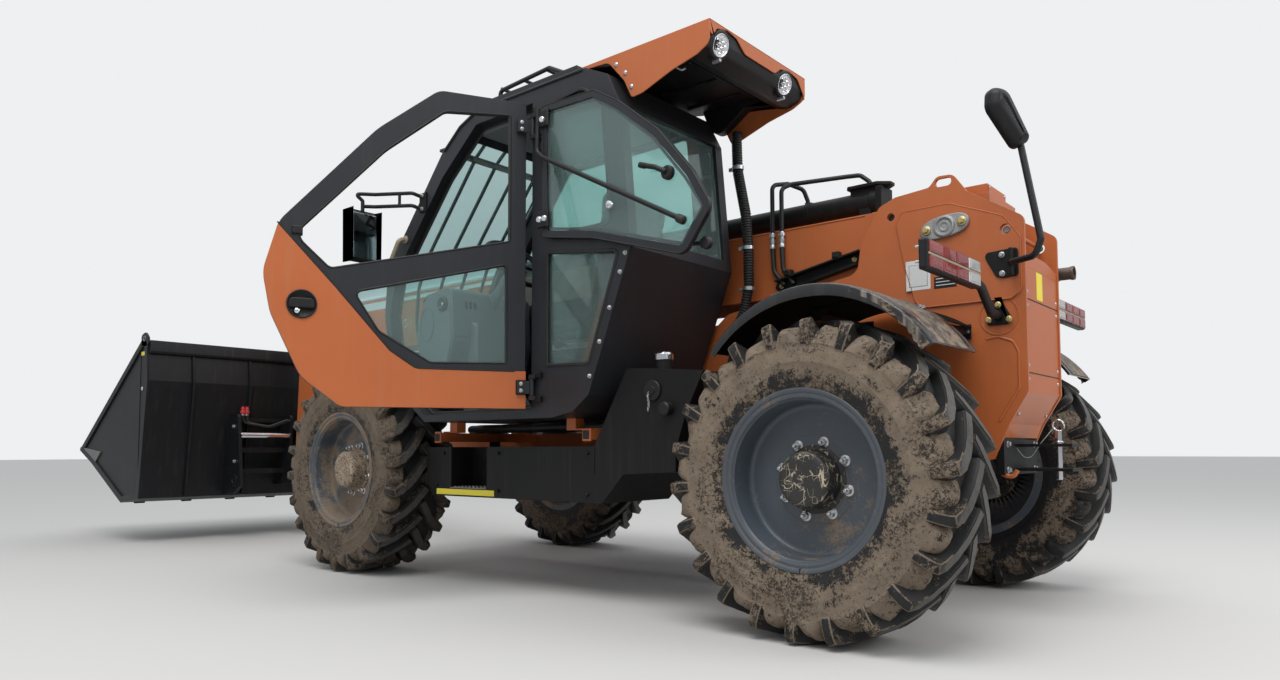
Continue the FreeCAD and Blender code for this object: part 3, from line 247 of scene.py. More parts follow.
def new_group(name, inputs, outputs):
    # An empty group: its net, the sockets it is given, and a function that sets its results
    group = bpy.data.node_groups.new(name, "ShaderNodeTree")
    for title, kind, value in inputs:
        socket = group.interface.new_socket(title, in_out="INPUT", socket_type=kind)
        if value is not None:
            socket.default_value = value
    for title, kind in outputs:
        group.interface.new_socket(title, in_out="OUTPUT", socket_type=kind)
    given, end = group.nodes.new("NodeGroupInput").outputs, group.nodes.new("NodeGroupOutput")
    net = Net(group)
    return group, net, given, lambda **sockets: net.feed(end, sockets)


edge_wear, net, given, results = new_group(
    "edge_wear", (("Radius", FLOAT, 0.004), ("Amount", FLOAT, 0.5), ("Patchiness", FLOAT, 18.0)),
    (("Mask", FLOAT), ("Normal", VECTOR)))
rounding = net.new("Bevel", {"Radius": given["Radius"]}, samples=4)[0]
facing = net.new("VectorMath", {0: rounding, 1: net.new("NewGeometry")["Normal"]}, operation="DOT_PRODUCT")["Value"]
patches = net.noise(net.place(), given["Patchiness"], 6.0, 0.7)
edge = net.mul(net.sub(1.0, facing), 7.0, clamp=True)
worn = net.ramp(net.add(patches, net.sub(given["Amount"], 1.0)), 0.0, 0.12)
results(Mask=net.mul(edge, worn, clamp=True), Normal=rounding)

# %% [markdown]
# **Dry mud** is thrown up by the wheels, so it is thick low down and thins out with height. Inside that, large
# noise makes patches and a finer one breaks their rims into specks.

# %% Dry mud group
dry_mud, net, given, results = new_group(
    "dry_mud", (("Position", VECTOR, None), ("Low", FLOAT, -0.6), ("High", FLOAT, 0.6), ("Amount", FLOAT, 0.5),
                ("Patch Scale", FLOAT, 6.0), ("Speck Scale", FLOAT, 60.0)),
    (("Mask", FLOAT), ("Height", FLOAT), ("Tone", FLOAT)))
spot = given["Position"]
low_share = net.ramp(net.split(spot)["Z"], given["High"], given["Low"])
together = net.add(net.mul(net.noise(spot, given["Patch Scale"], 5.0, 0.6, 0.4), 0.6),
                   net.mul(net.noise(spot, given["Speck Scale"], 4.0, 0.75, 0.2), 0.4))
level = net.sub(0.78, net.mul(net.mul(given["Amount"], low_share), 0.5))
mask = net.ramp(together, level, net.add(level, 0.05))
results(Mask=mask, Height=net.mul(mask, together), Tone=net.noise(spot, 14.0, 6.0, 0.6))

# %% [markdown]
# **Grain** is the orange peel of sprayed paint, the sand skin of a casting or the matt skin of moulded plastic,
# by its scale. **Dust** lies on what faces up and in streaks that rain leaves on what stands.

# %% Grain and dust groups
grain, net, given, results = new_group(
    "grain", (("Position", VECTOR, None), ("Scale", FLOAT, 300.0), ("Patch Scale", FLOAT, 5.0)),
    (("Height", FLOAT), ("Patch", FLOAT)))
results(Height=net.noise(given["Position"], given["Scale"], 2.0, 0.6),
        Patch=net.noise(given["Position"], given["Patch Scale"], 5.0, 0.65))

dust, net, given, results = new_group(
    "dust", (("Position", VECTOR, None), ("Amount", FLOAT, 0.4), ("Streaks", FLOAT, 0.3)), (("Mask", FLOAT),))
facing_up = net.ramp(net.split(net.new("NewGeometry")["Normal"])["Z"], 0.2, 1.0)
runs = net.noise(net.stretch(given["Position"], (34.0, 34.0, 1.6)), 1.0, 4.0, 0.6)
streaks = net.mul(net.ramp(runs, 0.5, 0.75), given["Streaks"])
settled = net.ramp(net.noise(given["Position"], 9.0, 7.0, 0.65), 0.3, 0.8)
lying = net.mul(net.mul(settled, facing_up), given["Amount"])
results(Mask=net.add(streaks, lying, clamp=True))
print("groups:", [group.name for group in bpy.data.node_groups])

# %% [markdown]
# ## Finishes
# A painted, cast or moulded finish is the same recipe with other numbers: base colour broken up a little by the
# grain's patches, bright metal or primer at worn edges, dust, then mud on top, with roughness following each.
# One function writes that recipe, and a table of finishes calls it.

# %% Finish recipe
MUD = (0.30, 0.225, 0.16, 1)
MUD_DARK = (0.115, 0.085, 0.06, 1)
DUST = (0.36, 0.31, 0.26, 1)


def shaded(colour, share):
    return tuple(c * share for c in colour[:3]) + (1,)


def finish(name, colour, rough, metal=0.0, shade=0.82, wear=0.0, worn=(0.32, 0.31, 0.30, 1), mud=0.3,
           mud_high=0.4, dusty=0.1, streaks=0.12, grain_scale=400.0, grain_depth=0.0004, edge=0.0035,
           coat=0.0, patch=5.0, mud_scale=6.0, speck=60.0, shine=0.5):
    net = new_material(name, metallic=metal, coat_weight=coat, coat_roughness=0.12, specular_ior_level=shine)
    place = net.place()
    skin = net.group(grain, Position=place, Scale=grain_scale, Patch_Scale=patch)
    edges = net.group(edge_wear, Radius=edge, Amount=wear)
    lying = net.group(dust, Position=place, Amount=dusty, Streaks=streaks)
    soil = net.group(dry_mud, Position=place, Low=FLOOR_Z, High=mud_high, Amount=mud, Patch_Scale=mud_scale,
                     Speck_Scale=speck)
    base = net.mix(skin["Patch"], shaded(colour, shade), shaded(colour, 1))
    base = net.mix(edges["Mask"], base, worn)
    base = net.mix(lying["Mask"], base, DUST)
    base = net.mix(soil["Mask"], base, net.mix(soil["Tone"], MUD_DARK, MUD))
    smooth = net.blend(skin["Patch"], rough * 0.85, min(1.0, rough * 1.2))
    smooth = net.blend(soil["Mask"], net.blend(lying["Mask"], smooth, 0.85), 0.95)
    height = net.add(net.mul(skin["Height"], grain_depth), net.mul(soil["Height"], 0.003))
    net.feed(net.shader, {"Base Color": base, "Roughness": smooth,
                          "Normal": net.bump(height, normal=edges["Normal"])})


# %% [markdown]
# The table below holds the machine's finishes. Orange is a gloss two-pack paint; the black frame is duller and
# collects dust. The bucket is a deeper, cleaner black. Fenders are shiny black moulding under dried splashes.

# %% Table of finishes
finish("orange_paint", (0.475, 0.126, 0.037), 0.34, wear=0.2, mud=0.10, worn=(0.26, 0.08, 0.04, 1), dusty=0.14,
       streaks=0.05, grain_scale=500, grain_depth=0.0002, coat=0.05, shade=0.86, shine=0.4)
finish("black_paint", (0.0085, 0.0085, 0.009), 0.45, wear=0.2, mud_high=0.1, dusty=0.08, streaks=0.02,
       worn=(0.04, 0.04, 0.042, 1), shade=0.75, shine=0.22)
finish("cab_black", (0.017, 0.0185, 0.022), 0.38, wear=0.2, mud=0.12, mud_high=0.2, dusty=0.08, streaks=0.015,
       worn=(0.06, 0.06, 0.065, 1), shade=0.85, shine=0.4)
finish("bucket_paint", (0.0095, 0.010, 0.0115), 0.38, wear=0.3, mud=0.25, mud_high=0.0, dusty=0.08, streaks=0.03,
       worn=(0.07, 0.07, 0.072, 1), shade=0.8, shine=0.25)
finish("gloss_black", (0.007, 0.007, 0.008), 0.16, wear=0.1, mud=0.45, mud_high=1.3, dusty=0.12, streaks=0.05,
       coat=0.4, shade=0.8, mud_scale=4.0, speck=40.0)
finish("dried_splash", (0.030, 0.028, 0.026), 0.45, mud=1.2, mud_high=1.6, streaks=0.6, dusty=0.5,
       mud_scale=16.0, speck=70.0, shade=0.3, patch=22.0, shine=0.4)
# Matt near-black for the fenders' underside with road grime, and for the sheet over each wheel, which is painted
# shade
finish("road_grime", (0.010, 0.009, 0.008), 0.95, mud=0.25, mud_high=0.9, streaks=0.0, dusty=0.0, shine=0.05)
finish("axle_casting", (0.03, 0.03, 0.031), 0.6, wear=0.3, mud=0.75, mud_high=0.3, dusty=0.35,
       grain_scale=220, grain_depth=0.0016, worn=(0.2, 0.19, 0.18, 1))
finish("chrome_rod", (0.78, 0.78, 0.80), 0.10, metal=1.0, mud=0.15, mud_high=0.0, streaks=0.03,
       grain_depth=0.00005, shade=0.95)
finish("zinc_steel", (0.55, 0.56, 0.57), 0.32, metal=0.9, mud_high=0.5, dusty=0.3, grain_depth=0.0002,
       edge=0.0012)
finish("grey_plastic", (0.105, 0.115, 0.125), 0.5, mud=0.0, mud_high=0.7, dusty=0.25, streaks=0.02,
       grain_scale=900)
finish("black_plastic", (0.011, 0.011, 0.012), 0.42, mud=0.2, mud_high=0.3, streaks=0.02, grain_scale=900,
       edge=0.002, shine=0.3)
finish("hose_rubber", (0.010, 0.010, 0.010), 0.5, dusty=0.15, streaks=0.03, grain_scale=700,
       grain_depth=0.0003, edge=0.001)
finish("engine_casting", (0.10, 0.10, 0.10), 0.65, wear=0.3, dusty=0.35, grain_scale=220, grain_depth=0.0016)
finish("exhaust_steel", (0.14, 0.11, 0.09), 0.5, metal=0.7, wear=0.2, mud=0.2, mud_high=0.6, dusty=0.5,
       grain_depth=0.0005, shade=0.5, patch=12.0)
finish("cast_silver", (0.34, 0.34, 0.34), 0.5, metal=0.6, wear=0.3, mud_high=2.0, dusty=0.35, grain_scale=260,
       grain_depth=0.0014, worn=(0.5, 0.5, 0.5, 1))
finish("yellow_zinc", (0.62, 0.50, 0.22), 0.35, metal=0.9, mud=0.1, mud_high=1.0, dusty=0.2, edge=0.001)
finish("bare_steel", (0.26, 0.25, 0.24), 0.45, metal=0.8, wear=0.3, mud=0.35, mud_high=0.3, dusty=0.35,
       grain_scale=160, grain_depth=0.0008)
finish("sign_yellow", (0.84, 0.70, 0.05), 0.45, mud=0.15, mud_high=0.5, grain_depth=0.0001)
finish("sign_white", (0.72, 0.72, 0.70), 0.45, mud=0.1, mud_high=0.5, dusty=0.2, grain_depth=0.0001)
finish("coupling_red", (0.45, 0.03, 0.03), 0.35, mud=0.15, mud_high=0.5, dusty=0.35)
finish("handle_tan", (0.38, 0.31, 0.22), 0.5, mud=0.0, mud_high=0.7)
finish("seal_rubber", (0.008, 0.008, 0.008), 0.55, mud=0.15, mud_high=0.3, streaks=0.02, edge=0.002)
finish("tinted_border", (0.030, 0.036, 0.040), 0.15, mud=0.0, mud_high=0.7, dusty=0.06, streaks=0.0,
       grain_depth=0.0, coat=0.5)
finish("seat_fabric", (0.022, 0.022, 0.024), 0.85, mud=0.0, mud_high=0.7, dusty=0.12, streaks=0.0,
       grain_scale=1500, grain_depth=0.0008)
finish("mirror_glass", (0.62, 0.66, 0.68), 0.06, metal=1.0, mud=0.0, mud_high=0.7, grain_depth=0.0, shade=0.97)
finish("work_lamp", (0.80, 0.82, 0.84), 0.15, metal=0.3, mud=0.0, mud_high=0.7, dusty=0.35, grain_scale=90,
       grain_depth=0.004, coat=0.8)
print("finishes:", len(finishes))

# %% [markdown]
# Window glass is tinted green; a little less than full transmission stands for the film of dust that makes it
# look milky against the dark. The lamps are off, so their lenses are coloured plastic over a bright reflector,
# ribbed by a small wave.

# %% Glass and lenses
new_material("window_glass", base_color=(0.66, 0.88, 0.84, 1), roughness=0.02, transmission_weight=0.93, ior=1.5,
             specular_ior_level=0.8)


def lens(name, colour):
    net = new_material(name, base_color=colour, roughness=0.12, coat_weight=0.8, coat_roughness=0.04)
    place = net.place()
    ribs = net.new("TexWave", {"Scale": 24.0, "Distortion": 0.3, "Vector": place}, bands_direction="Y")["Fac"]
    soil = net.group(dry_mud, Position=place, Low=FLOOR_Z, High=2.0, Amount=0.3)
    base = net.mix(soil["Mask"], net.mix(ribs, shaded(colour, 0.55), colour), DUST)
    net.feed(net.shader, {"Base Color": base, "Normal": net.bump(ribs, 0.002)})


lens("lamp_red", (0.33, 0.035, 0.03, 1))
lens("lamp_clear", (0.62, 0.62, 0.60, 1))

# %% [markdown]
# Every node of the frame already names a finish in its record. Each gets that material now, so nothing plain is
# left, and the pieces made later replace the nodes whose shape needs more.

# %% Paint the frame's nodes
slot_of = {part["node"]: part["material_slot"] for part in frame["record"]["subparts"]}
cab_pieces = ("cab_shell", "cab_roof", "door_frame", "upper_leaf", "guard_and_rack")
for name, node in nodes.items():
    paint = "cab_black" if name in cab_pieces else slot_of[name]
    node.data.materials.clear()
    node.data.materials.append(finishes.get(paint, finishes["black_paint"]))
    for polygon in node.data.polygons:
        polygon.material_index = 0
print("painted", len(slot_of), "nodes")

# %% [markdown]
# ## Ways of making a piece
# Most of this machine is plate, bar, tube and turned parts, so a few makers cover it: a plate cut to an outline
# with rounded corners, a block, a turned body, a bent tube and a bolt. A Piece gathers such shapes, each with its
# own finish, into one mesh that rides on one body of the frame.

# %% Outline, path and piece
def spread(plane, a, b, level):
    # A point of an outline, at a level of the axis that its plane leaves out
    return {"xz": (a, level, b), "yz": (level, a, b), "xy": (a, b, level)}[plane]


NEARLY_STRAIGHT = 3.10
TOUCHING = 1e-6


def rounded(points, steps=6):
    # Outline of (x, z) or (x, z, radius) points, with each radius turned into a run of short edges
    result = []
    count = len(points)
    for i, here in enumerate(points):
        p = Vector(here[:2])
        if len(here) < 3 or here[2] <= 0:
            result.append(p)
            continue
        a = (Vector(points[i - 1][:2]) - p).normalized()
        b = (Vector(points[(i + 1) % count][:2]) - p).normalized()
        half = a.angle(b) / 2
        reach = here[2] / math.tan(half)
        centre = p + (a + b).normalized() * here[2] / math.sin(half)
        start, end = p + a * reach - centre, p + b * reach - centre
        sweep = start.angle_signed(end)
        for k in range(steps + 1):
            spot = start.copy()
            spot.rotate(Matrix.Rotation(-sweep * k / steps, 2))
            result.append(centre + spot)
    return result


def bent_path(points, radius, steps=6):
    # Straight runs joined by arcs of one radius, as a tube comes off the bender
    spots = [Vector(p) for p in points]
    line = [spots[0]]
    for before, spot, after in zip(spots, spots[1:], spots[2:]):
        a, b = before - spot, after - spot
        half = a.angle(b) / 2
        if half > NEARLY_STRAIGHT / 2:
            line.append(spot)
            continue
        reach = min(radius / math.tan(half), a.length * 0.48, b.length * 0.48)
        bend = reach * math.tan(half)
        a.normalize()
        b.normalize()
        centre = spot + (a + b).normalized() * bend / math.sin(half)
        start, end = spot + a * reach - centre, spot + b * reach - centre
        for k in range(steps + 1):
            line.append(centre + start.slerp(end, k / steps).normalized() * start.length)
    return line + [spots[-1]]


class Piece:
    # Gathers shapes in millimetres of the drawing, then becomes one object that rides on a body.
    # turn is an optional matrix, in the same millimetres, that hangs what follows at an angle.

    def __init__(self, name, body, turn=None):
        self.name = name
        self.body = body
        self.mesh = bmesh.new()
        self.paints = []
        self.turn = turn

    def add(self, verts, faces, paint, smooth=False):
        if self.turn is not None:
            verts = [self.turn @ Vector(v) for v in verts]
        made = [self.mesh.verts.new(v) for v in verts]
        if paint not in self.paints:
            self.paints.append(paint)
        for face in faces:
            try:
                new = self.mesh.faces.new([made[i] for i in face])
            except ValueError:
                continue
            new.material_index = self.paints.index(paint)
            new.smooth = smooth

    def bands(self, loops, plane, paint, closed):
        # Skin over loops of one length, each at its own level; closed joins the last to the first, else it is capped
        count, total = len(loops[0][0]), len(loops)
        verts = [spread(plane, p.x, p.y, level) for loop, level in loops for p in loop]
        faces = [] if closed else [list(range(count)), list(reversed(range((total - 1) * count, total * count)))]
        for band in range(total if closed else total - 1):
            after = (band + 1) % total
            for i in range(count):
                j = (i + 1) % count
                faces.append((band * count + i, after * count + i, after * count + j, band * count + j))
        self.add(verts, faces, paint)

    def plate(self, outline, low, high, paint, chamfer=1.5, steps=6, plane="xz"):
        # Flat piece between two levels of the axis that the plane leaves out
        low, high = sorted((low, high))
        ring = rounded(outline, steps)
        inner = offset_ring(ring, chamfer)
        self.bands(((inner, low), (ring, low + chamfer), (ring, high - chamfer), (inner, high)), plane, paint, False)

    def frame(self, outline, depth, low, high, paint, chamfer=1.5, steps=6, plane="xz"):
        # Closed strip of one width that follows an outline, such as a seal or a flange
        low, high = sorted((low, high))
        ring = rounded(outline, steps)
        inner, deeper, deepest = (offset_ring(ring, d) for d in (chamfer, depth - chamfer, depth))
        self.bands(((inner, low), (ring, low + chamfer), (ring, high - chamfer), (inner, high), (deeper, high),
                    (deepest, high - chamfer), (deepest, low + chamfer), (deeper, low)), plane, paint, True)

    def block(self, x0, x1, y0, y1, z0, z1, paint, chamfer=1.5):
        self.plate(((x0, z0), (x1, z0), (x1, z1), (x0, z1)), y0, y1, paint, chamfer)

    def turned(self, profile, centre, axis, paint, segments=32, smooth=True):
        # profile: (distance along the axis, radius); an end with radius 0 closes to a point
        axis, centre = Vector(axis).normalized(), Vector(centre)
        side = axis.orthogonal().normalized()
        other = axis.cross(side)
        verts, rings = [], []
        for reach, radius in profile:
            if radius < TOUCHING:
                rings.append([len(verts)])
                verts.append(centre + axis * reach)
                continue
            rings.append(list(range(len(verts), len(verts) + segments)))
            verts += [centre + axis * reach + (side * c + other * s) * radius for c, s in circle(segments)]
        faces = []
        for a, b in zip(rings, rings[1:]):
            for k in range(segments):
                j = (k + 1) % segments
                if len(a) == 1:
                    faces.append((a[0], b[j], b[k]))
                elif len(b) == 1:
                    faces.append((a[k], a[j], b[0]))
                else:
                    faces.append((a[k], a[j], b[j], b[k]))
        self.add(verts, faces, paint, smooth)

    def rod(self, start, end, radius, paint, chamfer=1.0, segments=24):
        start, end = Vector(start), Vector(end)
        length = (end - start).length
        c = min(chamfer, radius * 0.4)
        self.turned(((0, 0), (0, radius - c), (c, radius), (length - c, radius), (length, radius - c), (length, 0)),
                    start, end - start, paint, segments)

    def tube(self, points, radius, bend, paint, segments=12, steps=6):
        line = bent_path(points, bend, steps)
        verts, faces = [], []
        across = (line[1] - line[0]).orthogonal().normalized()
        for i, p in enumerate(line):
            ahead = (line[min(i + 1, len(line) - 1)] - line[max(i - 1, 0)]).normalized()
            across = (across - ahead * across.dot(ahead)).normalized()
            other = ahead.cross(across)
            verts += [p + (across * c + other * s) * radius for c, s in circle(segments)]
        for i in range(len(line) - 1):
            for k in range(segments):
                j = (k + 1) % segments
                faces.append((i * segments + k, i * segments + j, (i + 1) * segments + j, (i + 1) * segments + k))
        faces.append(list(reversed(range(segments))))
        last = (len(line) - 1) * segments
        faces.append(list(range(last, last + segments)))
        self.add(verts, faces, paint, True)

    def bolt(self, spot, way, size, paint, washer=True, stud=0.0):
        # Hexagon head across corners = 2 * size, on a washer, with an optional stud end
        way = Vector(way).normalized()
        base = size * 0.3 if washer else 0.0
        top = base + size * 1.05
        if washer:
            self.turned(((0, size * 1.35), (size * 0.25, size * 1.35), (size * 0.3, size * 1.25), (size * 0.3, 0)),
                        spot, way, paint, 20)
        self.turned(((base, size), (base + size * 0.85, size), (top, size * 0.82), (top, 0)), spot, way, paint, 6,
                    smooth=False)
        if stud:
            self.turned(((top, size * 0.5), (top + stud, size * 0.5), (top + stud + 2, size * 0.38),
                         (top + stud + 2, 0)), spot, way, paint, 12)

    def make(self, replaces=(), smooth_angle=35):
        data = bpy.data.meshes.new(self.name)
        bmesh.ops.remove_doubles(self.mesh, verts=self.mesh.verts, dist=0.001)
        bmesh.ops.recalc_face_normals(self.mesh, faces=self.mesh.faces)
        for vertex in self.mesh.verts:
            vertex.co = (vertex.co - HITCH) * MM
        self.mesh.to_mesh(data)
        self.mesh.free()
        for paint in self.paints:
            data.materials.append(finishes[paint])
        for polygon in data.polygons:
            polygon.use_smooth = True
        data.set_sharp_from_angle(angle=math.radians(smooth_angle))
        made = bpy.data.objects.new(self.name, data)
        scene.collection.objects.link(made)
        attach(made, self.body)
        if replaces:
            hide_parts(*replaces)
        print(self.name, len(data.polygons), "faces on", self.body)
        return made


def offset_ring(ring, depth):
    # Moves a closed outline inwards, whichever way round it runs
    area = sum(a.x * b.y - b.x * a.y for a, b in zip(ring, ring[1:] + ring[:1]))
    sign = 1 if area > 0 else -1
    result = []
    for i, p in enumerate(ring):
        a, b = p - ring[i - 1], ring[(i + 1) % len(ring)] - p
        mid = a.normalized() + b.normalized()
        if min(a.length, b.length) < TOUCHING or mid.length < 0.05:
            result.append(p.copy())
            continue
        a.normalize()
        mid.normalize()
        out = Vector((-mid.y, mid.x)) * sign
        scale = 1 / max(0.35, abs(Vector((-a.y, a.x)).dot(out)))
        result.append(p + out * depth * scale)
    return result


# Short names for the finishes that most pieces use
PLASTIC, ORANGE, ZINC, BLACK, SEAL = "black_plastic", "orange_paint", "zinc_steel", "black_paint", "seal_rubber"
RUBBER, STEEL, CHROME, DEEP_BLACK = "hose_rubber", "bare_steel", "chrome_rod", "bucket_paint"
print("makers ready")

# %% [markdown]
# ## Tyres
# A 24 inch farm tyre stands out more than any other piece. It could be a torus with a bump map, but its outline
# is made by the lugs, so they are real shapes. The carcass is turned from a section and its shoulders are
# pushed out by noise where mud has packed between the lugs. Each lug is a bar with sloping sides, swept from a
# foot on the sidewall over the shoulder and on to the middle at a slant. Left and right rows are half a step
# apart and point forwards over the top.

# %% Tyre measures
TYRE_RADIUS = 595
HALF_TRACK = 900
WHEELBASE = 3050
LUGS_PER_SIDE = 22
# Section of the carcass on its outer half: width from the middle, radius
carcass_section = ((163, 306), (172, 312), (181, 324), (187, 340), (191, 352), (192, 358), (195, 362), (198, 380),
    (200.5, 405), (201.5, 424), (203, 427), (203, 433), (201.8, 436), (202, 455), (200, 475), (196, 494),
    (197.5, 497), (194, 500), (188, 510), (181, 520), (172, 530), (161, 538), (148, 545), (130, 550), (112, 553),
    (90, 555), (60, 557), (30, 558), (0, 558))
# Lug stations: base width, base radius, top width, top radius, lead in degrees, half width at base and at top
lug_stations = ((196.0, 490, 201.0, 488, 0.0, 22, 16), (189.0, 506, 204.5, 504, 0.0, 26, 17),
    (178.0, 524, 205.0, 536, 0.0, 30, 18), (166.0, 538, 203.0, 566, 0.1, 33, 19), (152.0, 548, 193.0, 586, 0.4, 35,
    20), (136.0, 553, 160.0, 592, 1.8, 36, 21), (100.0, 556, 112.0, 594, 5.3, 36, 22),
    (60.0, 558, 66.0, 595, 10.0, 36, 22), (20.0, 559, 23.0, 595, 15.2, 35, 22), (-14.0, 559, -8.0, 595, 19.2, 33,
    20),)
wheels = {"fl": (WHEELBASE, 1), "fr": (WHEELBASE, -1), "rl": (0, 1), "rr": (0, -1)}


# %% Tyre rubber under mud
def tyre_finish(name, mud_amount, soil, on_lugs=False):
    # Positions are measured from the wheel's own middle, so the mud follows rings, not heights.
    # Tan mud with dark specks covers the sidewall and thins out near the rim. Lug tops are a paler grey: a painted
    # sheen of the tread.
    net = new_material(name, specular_ior_level=0.25)
    place = net.place()
    radius = net.new("VectorMath", {0: net.stretch(place, (1.0, 0.0, 1.0))}, operation="LENGTH")["Value"]
    width = net.math("ABSOLUTE", net.split(place)["Y"])
    broad = net.noise(place, 6.0, 3.0, 0.5, 0.3)
    middle = net.noise(place, 34.0, 6.0, 0.72, 0.4)
    fine = net.noise(place, 150.0, 4.0, 0.8)
    film = net.mix(middle, (0.007, 0.007, 0.008, 1), (0.026, 0.026, 0.026, 1))
    level = net.add(net.mul(broad, 0.40), net.add(net.mul(middle, 0.34), net.mul(fine, 0.26)))
    if on_lugs:
        # Paler grey on the lug tops is a painted sheen of the tread
        top = net.ramp(radius, 0.586, 0.591)
        film = net.mix(net.mul(top, middle), film, (0.115, 0.108, 0.096, 1))
        threshold = net.sub(1.12 - mud_amount, net.mul(net.ramp(width, 0.150, 0.205), 0.055))
    else:
        near_rim = net.ramp(radius, 0.425, 0.355)
        threshold = net.add(1.30 - mud_amount, net.mul(near_rim, 0.10))
        threshold = net.sub(threshold, net.mul(net.ramp(width, 0.110, 0.150), 0.34))
    mask = net.ramp(level, threshold, net.add(threshold, 0.035))
    tone = net.mix(net.noise(place, 13.0, 5.0, 0.65), (0.075, 0.057, 0.041, 1), soil)
    specks = net.add(net.noise(place, 70.0, 6.0, 0.9, 0.6), net.mul(net.sub(broad, 0.5), 0.45))
    tone = net.mix(net.ramp(specks, 0.60, 0.52), (0.035, 0.028, 0.022, 1), tone)
    height = net.add(net.mul(mask, 0.0022), net.mul(fine, net.blend(mask, 0.0005, 0.0022)))
    net.feed(net.shader, {"Base Color": net.mix(mask, film, tone), "Roughness": net.blend(mask, 0.46, 0.97),
        "Normal": net.bump(height)})


TYRE_MUD = (0.30, 0.235, 0.175, 1)
DAMP_MUD = (0.20, 0.155, 0.115, 1)
for tag, amount, soil in (("fl", 0.60, DAMP_MUD), ("fr", 0.52, DAMP_MUD), ("rl", 0.57, TYRE_MUD),
    ("rr", 0.50, TYRE_MUD)):
    tyre_finish("tyre_" + tag + "_wall", amount, soil)
    tyre_finish("tyre_" + tag + "_lugs", amount, soil, True)


# %% [markdown]
# The carcass is built ring by ring round the axle. Between the lugs its shoulder swells into clods of packed mud,
# each of its own size; under the lugs it keeps its section.

# %% Tyre mesh
LUG_STEP = math.tau / LUGS_PER_SIDE
SUNK = 7            # how far a lug's foot is sunk into the carcass
BEVELLED = 0.55     # edges that turn by more than this many radians are rounded


def carcass(mesh, segments=264):
    half = list(carcass_section)
    section = half + [(-w, r) for w, r in reversed(half[:-1])]
    rings = []
    for w, r in section:
        ring = []
        for k, (x, z) in enumerate(circle(segments)):
            phase = (math.tau * k / segments / LUG_STEP - (0.75 if w > 0 else 0.25)) % 1
            from_lug = min(phase, 1 - phase)
            zone = (abs(w) > 115) * max(0.0, min(1.0, (r - 494) / 14))
            between = max(0.0, min(1.0, (from_lug - 0.17) / 0.13))
            lump = max(0.0, 0.62 + 1.1 * noise.noise(Vector((x * 5, w * 0.014, z * 5)))) * between * zone
            rough = noise.noise(Vector((x * 30, w * 0.05, z * 30))) * (1.0 + 3.0 * lump)
            grown = r + lump * 19 + (rough if r > 330 else 0)
            wide = math.copysign(abs(w) + lump * 14, w)
            ring.append(mesh.verts.new(Vector((x * grown, wide, z * grown)) * MM))
        rings.append(ring)
    for a, b in zip(rings, rings[1:]):
        for k in range(segments):
            j = (k + 1) % segments
            mesh.faces.new((a[k], b[k], b[j], a[j]))


def lug(mesh, angle, side):
    tops, bases = [], []
    for bw, br, tw, tr, lead, _, _ in lug_stations:
        a = angle - math.radians(lead)
        bases.append(Vector((math.cos(a) * (br - SUNK), side * bw, math.sin(a) * (br - SUNK))))
        tops.append(Vector((math.cos(a) * tr, side * tw, math.sin(a) * tr)))
    corners = []
    for i, (base, top) in enumerate(zip(bases, tops)):
        ahead = tops[min(i + 1, len(tops) - 1)] - tops[max(i - 1, 0)]
        across = ahead.cross(top - base).normalized()
        base_half, top_half = lug_stations[i][5:]
        wobble = noise.noise(top * 0.013) * 2.0
        ring = (base - across * base_half, top - across * (top_half + wobble), top + across * (top_half - wobble),
            base + across * base_half)
        corners.append([mesh.verts.new(p * MM) for p in ring])
    for a, b in zip(corners, corners[1:]):
        for k in range(4):
            j = (k + 1) % 4
            mesh.faces.new((a[k], a[j], b[j], b[k]))
    mesh.faces.new(corners[0])
    mesh.faces.new(list(reversed(corners[-1])))


def tyre_data():
    mesh = bmesh.new()
    carcass(mesh)
    body_faces = len(mesh.faces)
    for k in range(LUGS_PER_SIDE):
        lug(mesh, (k + 0.75) * LUG_STEP, 1)
        lug(mesh, (k + 0.25) * LUG_STEP, -1)
    lug_faces = list(mesh.faces)[body_faces:]
    for face in lug_faces:
        face.material_index = 1
    bmesh.ops.recalc_face_normals(mesh, faces=mesh.faces)
    edges = {edge for face in lug_faces for edge in face.edges if len(edge.link_faces) == 2 and
        edge.calc_face_angle(0) > BEVELLED}
    bmesh.ops.bevel(mesh, geom=list(edges), offset=0.0045, segments=2, affect="EDGES", clamp_overlap=True)
    data = bpy.data.meshes.new("tyre")
    mesh.to_mesh(data)
    mesh.free()
    for polygon in data.polygons:
        polygon.use_smooth = True
    data.set_sharp_from_angle(angle=math.radians(50))
    return data


tyre_mesh = tyre_data()
for tag, (axle_x, side) in wheels.items():
    data = tyre_mesh.copy()
    data.name = "tyre_" + tag + "_tread"
    for part in ("_wall", "_lugs"):
        data.materials.append(finishes["tyre_" + tag + part])
    tyre = bpy.data.objects.new(data.name, data)
    tyre.location = at(axle_x, side * HALF_TRACK, TYRE_RADIUS)
    scene.collection.objects.link(tyre)
    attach(tyre, "wheel_" + tag)
    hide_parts("tyre_" + tag)
print("tyre faces:", len(tyre_mesh.polygons))

# %% [markdown]
# ## Rims
# The real rim is rolled: a rounded flange, a split lock ring on its outer side, a bead seat, a well and a welded
# disc. Turning one section gives all of that. The lock ring's split is a small dark gap. Eight studs with nuts
# and washers hold the disc to the hub, and the hub's cap is a rough casting with dry grass stuck on it.

